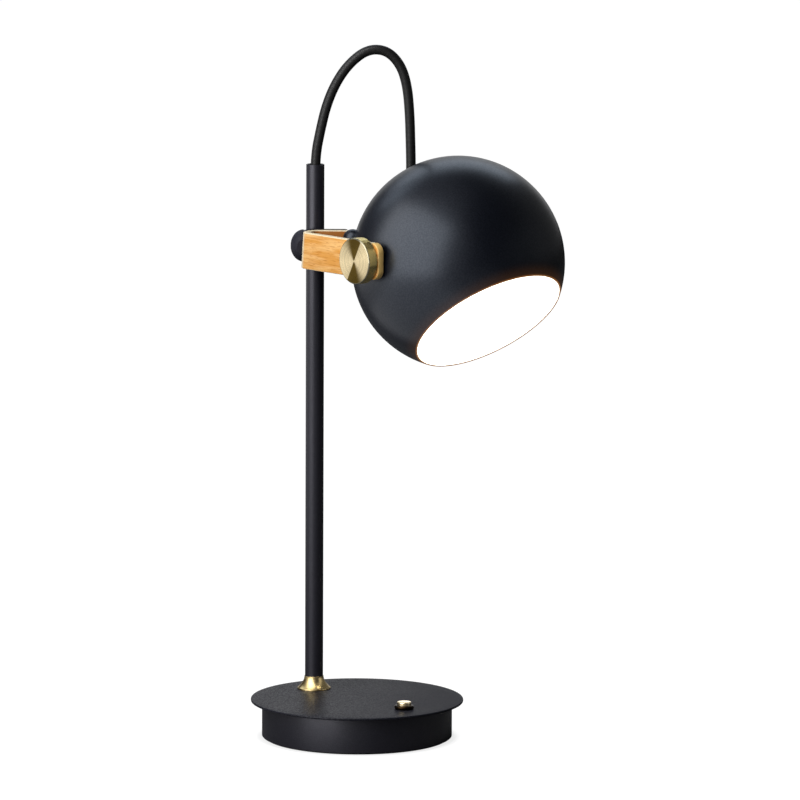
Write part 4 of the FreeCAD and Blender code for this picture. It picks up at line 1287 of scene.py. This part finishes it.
@dataclass
class Studio:
    """Pale floor, soft studio lights and the camera at the photograph's angle."""

    azimuth: float = math.radians(-40.5)
    elevation: float = math.radians(8.61)
    roll: float = math.radians(0.25)
    distance: float = 6.0
    lens: float = 320.7
    aim_right: float = 35.3 * MM
    aim_height: float = 288.4 * MM
    matte_light: float = 0.16
    glossy_light: float = 0.7
    dim_side: float = 0.06

    def camera(self) -> None:
        """Place the camera."""
        data = bpy.data.cameras.new("camera")
        data.lens = self.lens
        data.sensor_width = 36.0
        data.clip_start, data.clip_end = 0.1, 100.0
        camera = bpy.data.objects.new("camera", data)
        turns = ((self.azimuth, "Z"), (math.pi / 2 - self.elevation, "X"), (self.roll, "Z"))
        camera.matrix_world = Matrix.Translation(UP * self.aim_height)
        for angle, axis in turns:
            camera.matrix_world @= Matrix.Rotation(angle, 4, axis)
        camera.matrix_world @= Matrix.Translation((self.aim_right, 0.0, self.distance))
        bpy.context.scene.collection.objects.link(camera)
        bpy.context.scene.camera = camera

    @staticmethod
    def rays(graph: Graph) -> tuple[Socket, Socket]:
        """Whether a ray comes from the camera or through glass, and whether it is a reflection."""
        ray = graph.add("ShaderNodeLightPath").outputs
        return graph.math("MAXIMUM", ray["Is Camera Ray"], ray["Is Transmission Ray"]), ray["Is Glossy Ray"]

    def world(self) -> None:
        """White to the camera and through glass; a studio lit from the left to everything else."""
        world = bpy.data.worlds.new("studio")
        bpy.context.scene.world = world
        world.use_nodes = True
        graph = Graph(world.node_tree)
        seen, glossy = self.rays(graph)
        way = graph.add("ShaderNodeTexCoord").outputs["Generated"]
        bright = self.dim_side
        for aim, low, high, share in BRIGHT_SIDES:
            bright = graph.math("ADD", graph.ramp(graph.dot(way, aim), low, high, 0.0, share), bright)
        level = graph.math("MULTIPLY_ADD", glossy, self.glossy_light - self.matte_light, self.matte_light)
        background = world.node_tree.nodes["Background"].inputs
        graph.feed(background["Color"], WHITE)
        graph.feed(background["Strength"], graph.math("MAXIMUM", seen, graph.times(bright, level)))

    def floor(self) -> None:
        """White floor that keeps the lamp's contact shadow, with a painted shadow: its glow dims close round
        the base.
        """
        Bench.clear()
        bpy.ops.mesh.primitive_plane_add(size=40.0, location=ORIGIN)
        floor = bpy.context.object
        floor.name = "floor"
        material = bpy.data.materials.new("floor_white")
        material.use_nodes = True
        canvas = Canvas(material)
        seen, glossy = self.rays(canvas)
        reach = canvas.vector("LENGTH", canvas.place).outputs["Value"]
        # Painted shadow: the camera-seen glow dims to 0.8 within the base's edge and brightens out to 89 mm
        glow = canvas.times(seen, canvas.ramp(reach, 80.5 * MM, 89.0 * MM, 0.8, 1.0))
        behind = canvas.ramp(canvas.dot(canvas.place, (-0.8, 0.6, 0.0)), 0.3, 2.0, 0.0, 0.9)
        left = canvas.ramp(canvas.dot(canvas.place, (-0.98, -0.15, 0.0)), 0.1, 0.5, 0.0, 0.25)
        sheen = canvas.times(glossy, canvas.math("MAXIMUM", behind, left))
        canvas.set(Base_Color=(0.12, 0.12, 0.12), Roughness=0.9, Specular_IOR_Level=0.0)
        canvas.set(Emission_Color=WHITE, Emission_Strength=canvas.math("MAXIMUM", glow, sheen))
        floor.data.materials.append(material)

    def build(self) -> None:
        """Set the view and build the studio."""
        bpy.context.scene.view_settings.view_transform = "Standard"
        self.camera()
        self.world()
        self.floor()
        for lamp in LAMPS:
            lamp.build()


FINISHES = (
    PowderCoat(
        "base_coat", (0.010, 0.0098, 0.014), specular=0.54, tint=(0.9, 0.89, 1.0),
        low=0.32, high=0.37, sparkle=0.15,
    ),
    PowderCoat("bar_coat", (0.014, 0.014, 0.021), specular=0.25, low=0.6, high=0.66),
    # Painted sheen: the plate's sparkle fades along the bar's direction
    PowderCoat(
        "plate_coat", (0.013, 0.013, 0.018), specular=0.05, grain=800.0, depth=0.1 * MM,
        low=0.4, high=0.45, sparkle=0.58, fade=BAR_ALONG,
    ),
    PaintedRimGlowCoat(
        "shade_coat", (0.0035, 0.0042, 0.0075), specular=0.46, tint=(0.76, 0.85, 1.0),
        grain=900.0, low=0.3, high=0.34, sparkle=0.2,
    ),
    PowderCoat("rubber", (0.012, 0.012, 0.012), low=0.65, high=0.8),
    PowderCoat("black_plastic", (0.016, 0.016, 0.018), grain=2600.0, low=0.4, high=0.55),
    PowderCoat("nylon", (0.03, 0.03, 0.032), grain=2600.0, low=0.35, high=0.45),
    PowderCoat("circuit", (0.02, 0.14, 0.07), grain=900.0, low=0.3, high=0.4),
    PowderCoat("cell_wrap", (0.06, 0.16, 0.36), grain=2600.0, low=0.25, high=0.35),
    PowderCoat("iron", (0.11, 0.11, 0.12), 1.0, grain=800.0, low=0.5, high=0.65),
    TurnedMetal("steel", (0.55, 0.55, 0.57), 1.0, low=0.3, high=0.42),
    TurnedMetal("aluminium", (0.70, 0.70, 0.72), 1.0, low=0.35, high=0.48),
    TurnedMetal("collar_brass", (0.84, 0.64, 0.30), 1.0, centre=POLE_PLACE, low=0.26, high=0.3, depth=0.0),
    # Brass colour, lightened past the collar's tone as a painted highlight for the bright reflection on the
    # cap's top
    TurnedMetal("button_brass", (0.95, 0.78, 0.48), 1.0, centre=BUTTON_PLACE, low=0.16, high=0.24, depth=0.0),
    # Painted shade: the brass ring gets a near-black colour for its shade and dark reflection
    TurnedMetal("ring_painted_dark_brass", (0.03, 0.018, 0.008), 1.0, centre=BUTTON_PLACE, low=0.25, high=0.3, depth=0.0),
    KnobBrass(
        "knob_brass", (0.88, 0.72, 0.43), 1.0, centre=PIVOT - Vector((0.65 * MM, 0.0, 0.0)),
        axis=0, grooves=620.0, anisotropy=0.9, depth=0.03 * MM,
    ),
    Bamboo("bamboo", (1.0, 0.585, 0.215), specular=0.3),
    Braid("braid", (0.0026, 0.0024, 0.0025), specular=0.3),
    Glow("shade_inside", (0.9, 0.88, 0.84), light=(1.0, 0.96, 0.86), strength=1.1),
    Glow("opal", (0.9, 0.88, 0.84), light=(1.0, 0.97, 0.9), strength=1.3),
    Glow("lamp_chip", (1.0, 0.8, 0.45), light=(1.0, 0.85, 0.55), strength=2.0),
)

NODE_FINISHES = {
    "rubber": ("foot_pad", "pole_top_bush", "button_dome"),
    "black_plastic": ("bottom_cover", "battery_tray", "tact_switch", "pole_lead", "shade_lead"),
    "nylon": ("board_feet", "lead_connector", "clamp_bush", "knob_washer", "friction_washer"),
    "steel": (
        "cover_screws", "plate_studs", "plate_nuts", "cell_contacts", "charging_socket",
        "pole_plug", "pole_nipple", "pole_washer", "pole_nut", "button_clip", "clamp_grub_screw",
        "strap_screws", "knob_stud", "pivot_dish_washer", "pivot_nut", "side_cap_nut",
    ),
    "iron": ("ballast_weight",),
    "cell_wrap": ("battery_cells",),
    "circuit": ("charging_board", "switch_board"),
    "button_brass": ("bezel_nut", "pivot_sleeve"),
    "bar_coat": ("clamp_bar", "strap_backing_plate", "pivot_boss"),
    "shade_coat": ("side_cap",),
    "aluminium": ("heat_sink", "lamp_board"),
    "lamp_chip": ("lamp_chips",),
}


def main() -> None:
    """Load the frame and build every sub-assembly."""
    logging.basicConfig(level=logging.INFO, format="%(message)s")
    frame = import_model()
    effects = Effects()
    shop = Workshop(frame, {finish.name: finish.make(effects) for finish in FINISHES})
    for assembly in (Cord(), Base(), PushButton(), Strap(), ThumbKnob(), BallShade()):
        assembly.build(shop)
    for material, nodes in NODE_FINISHES.items():
        for node in nodes:
            shop.dress(node, material)
    Studio().build()


if __name__ == "__main__":
    main()
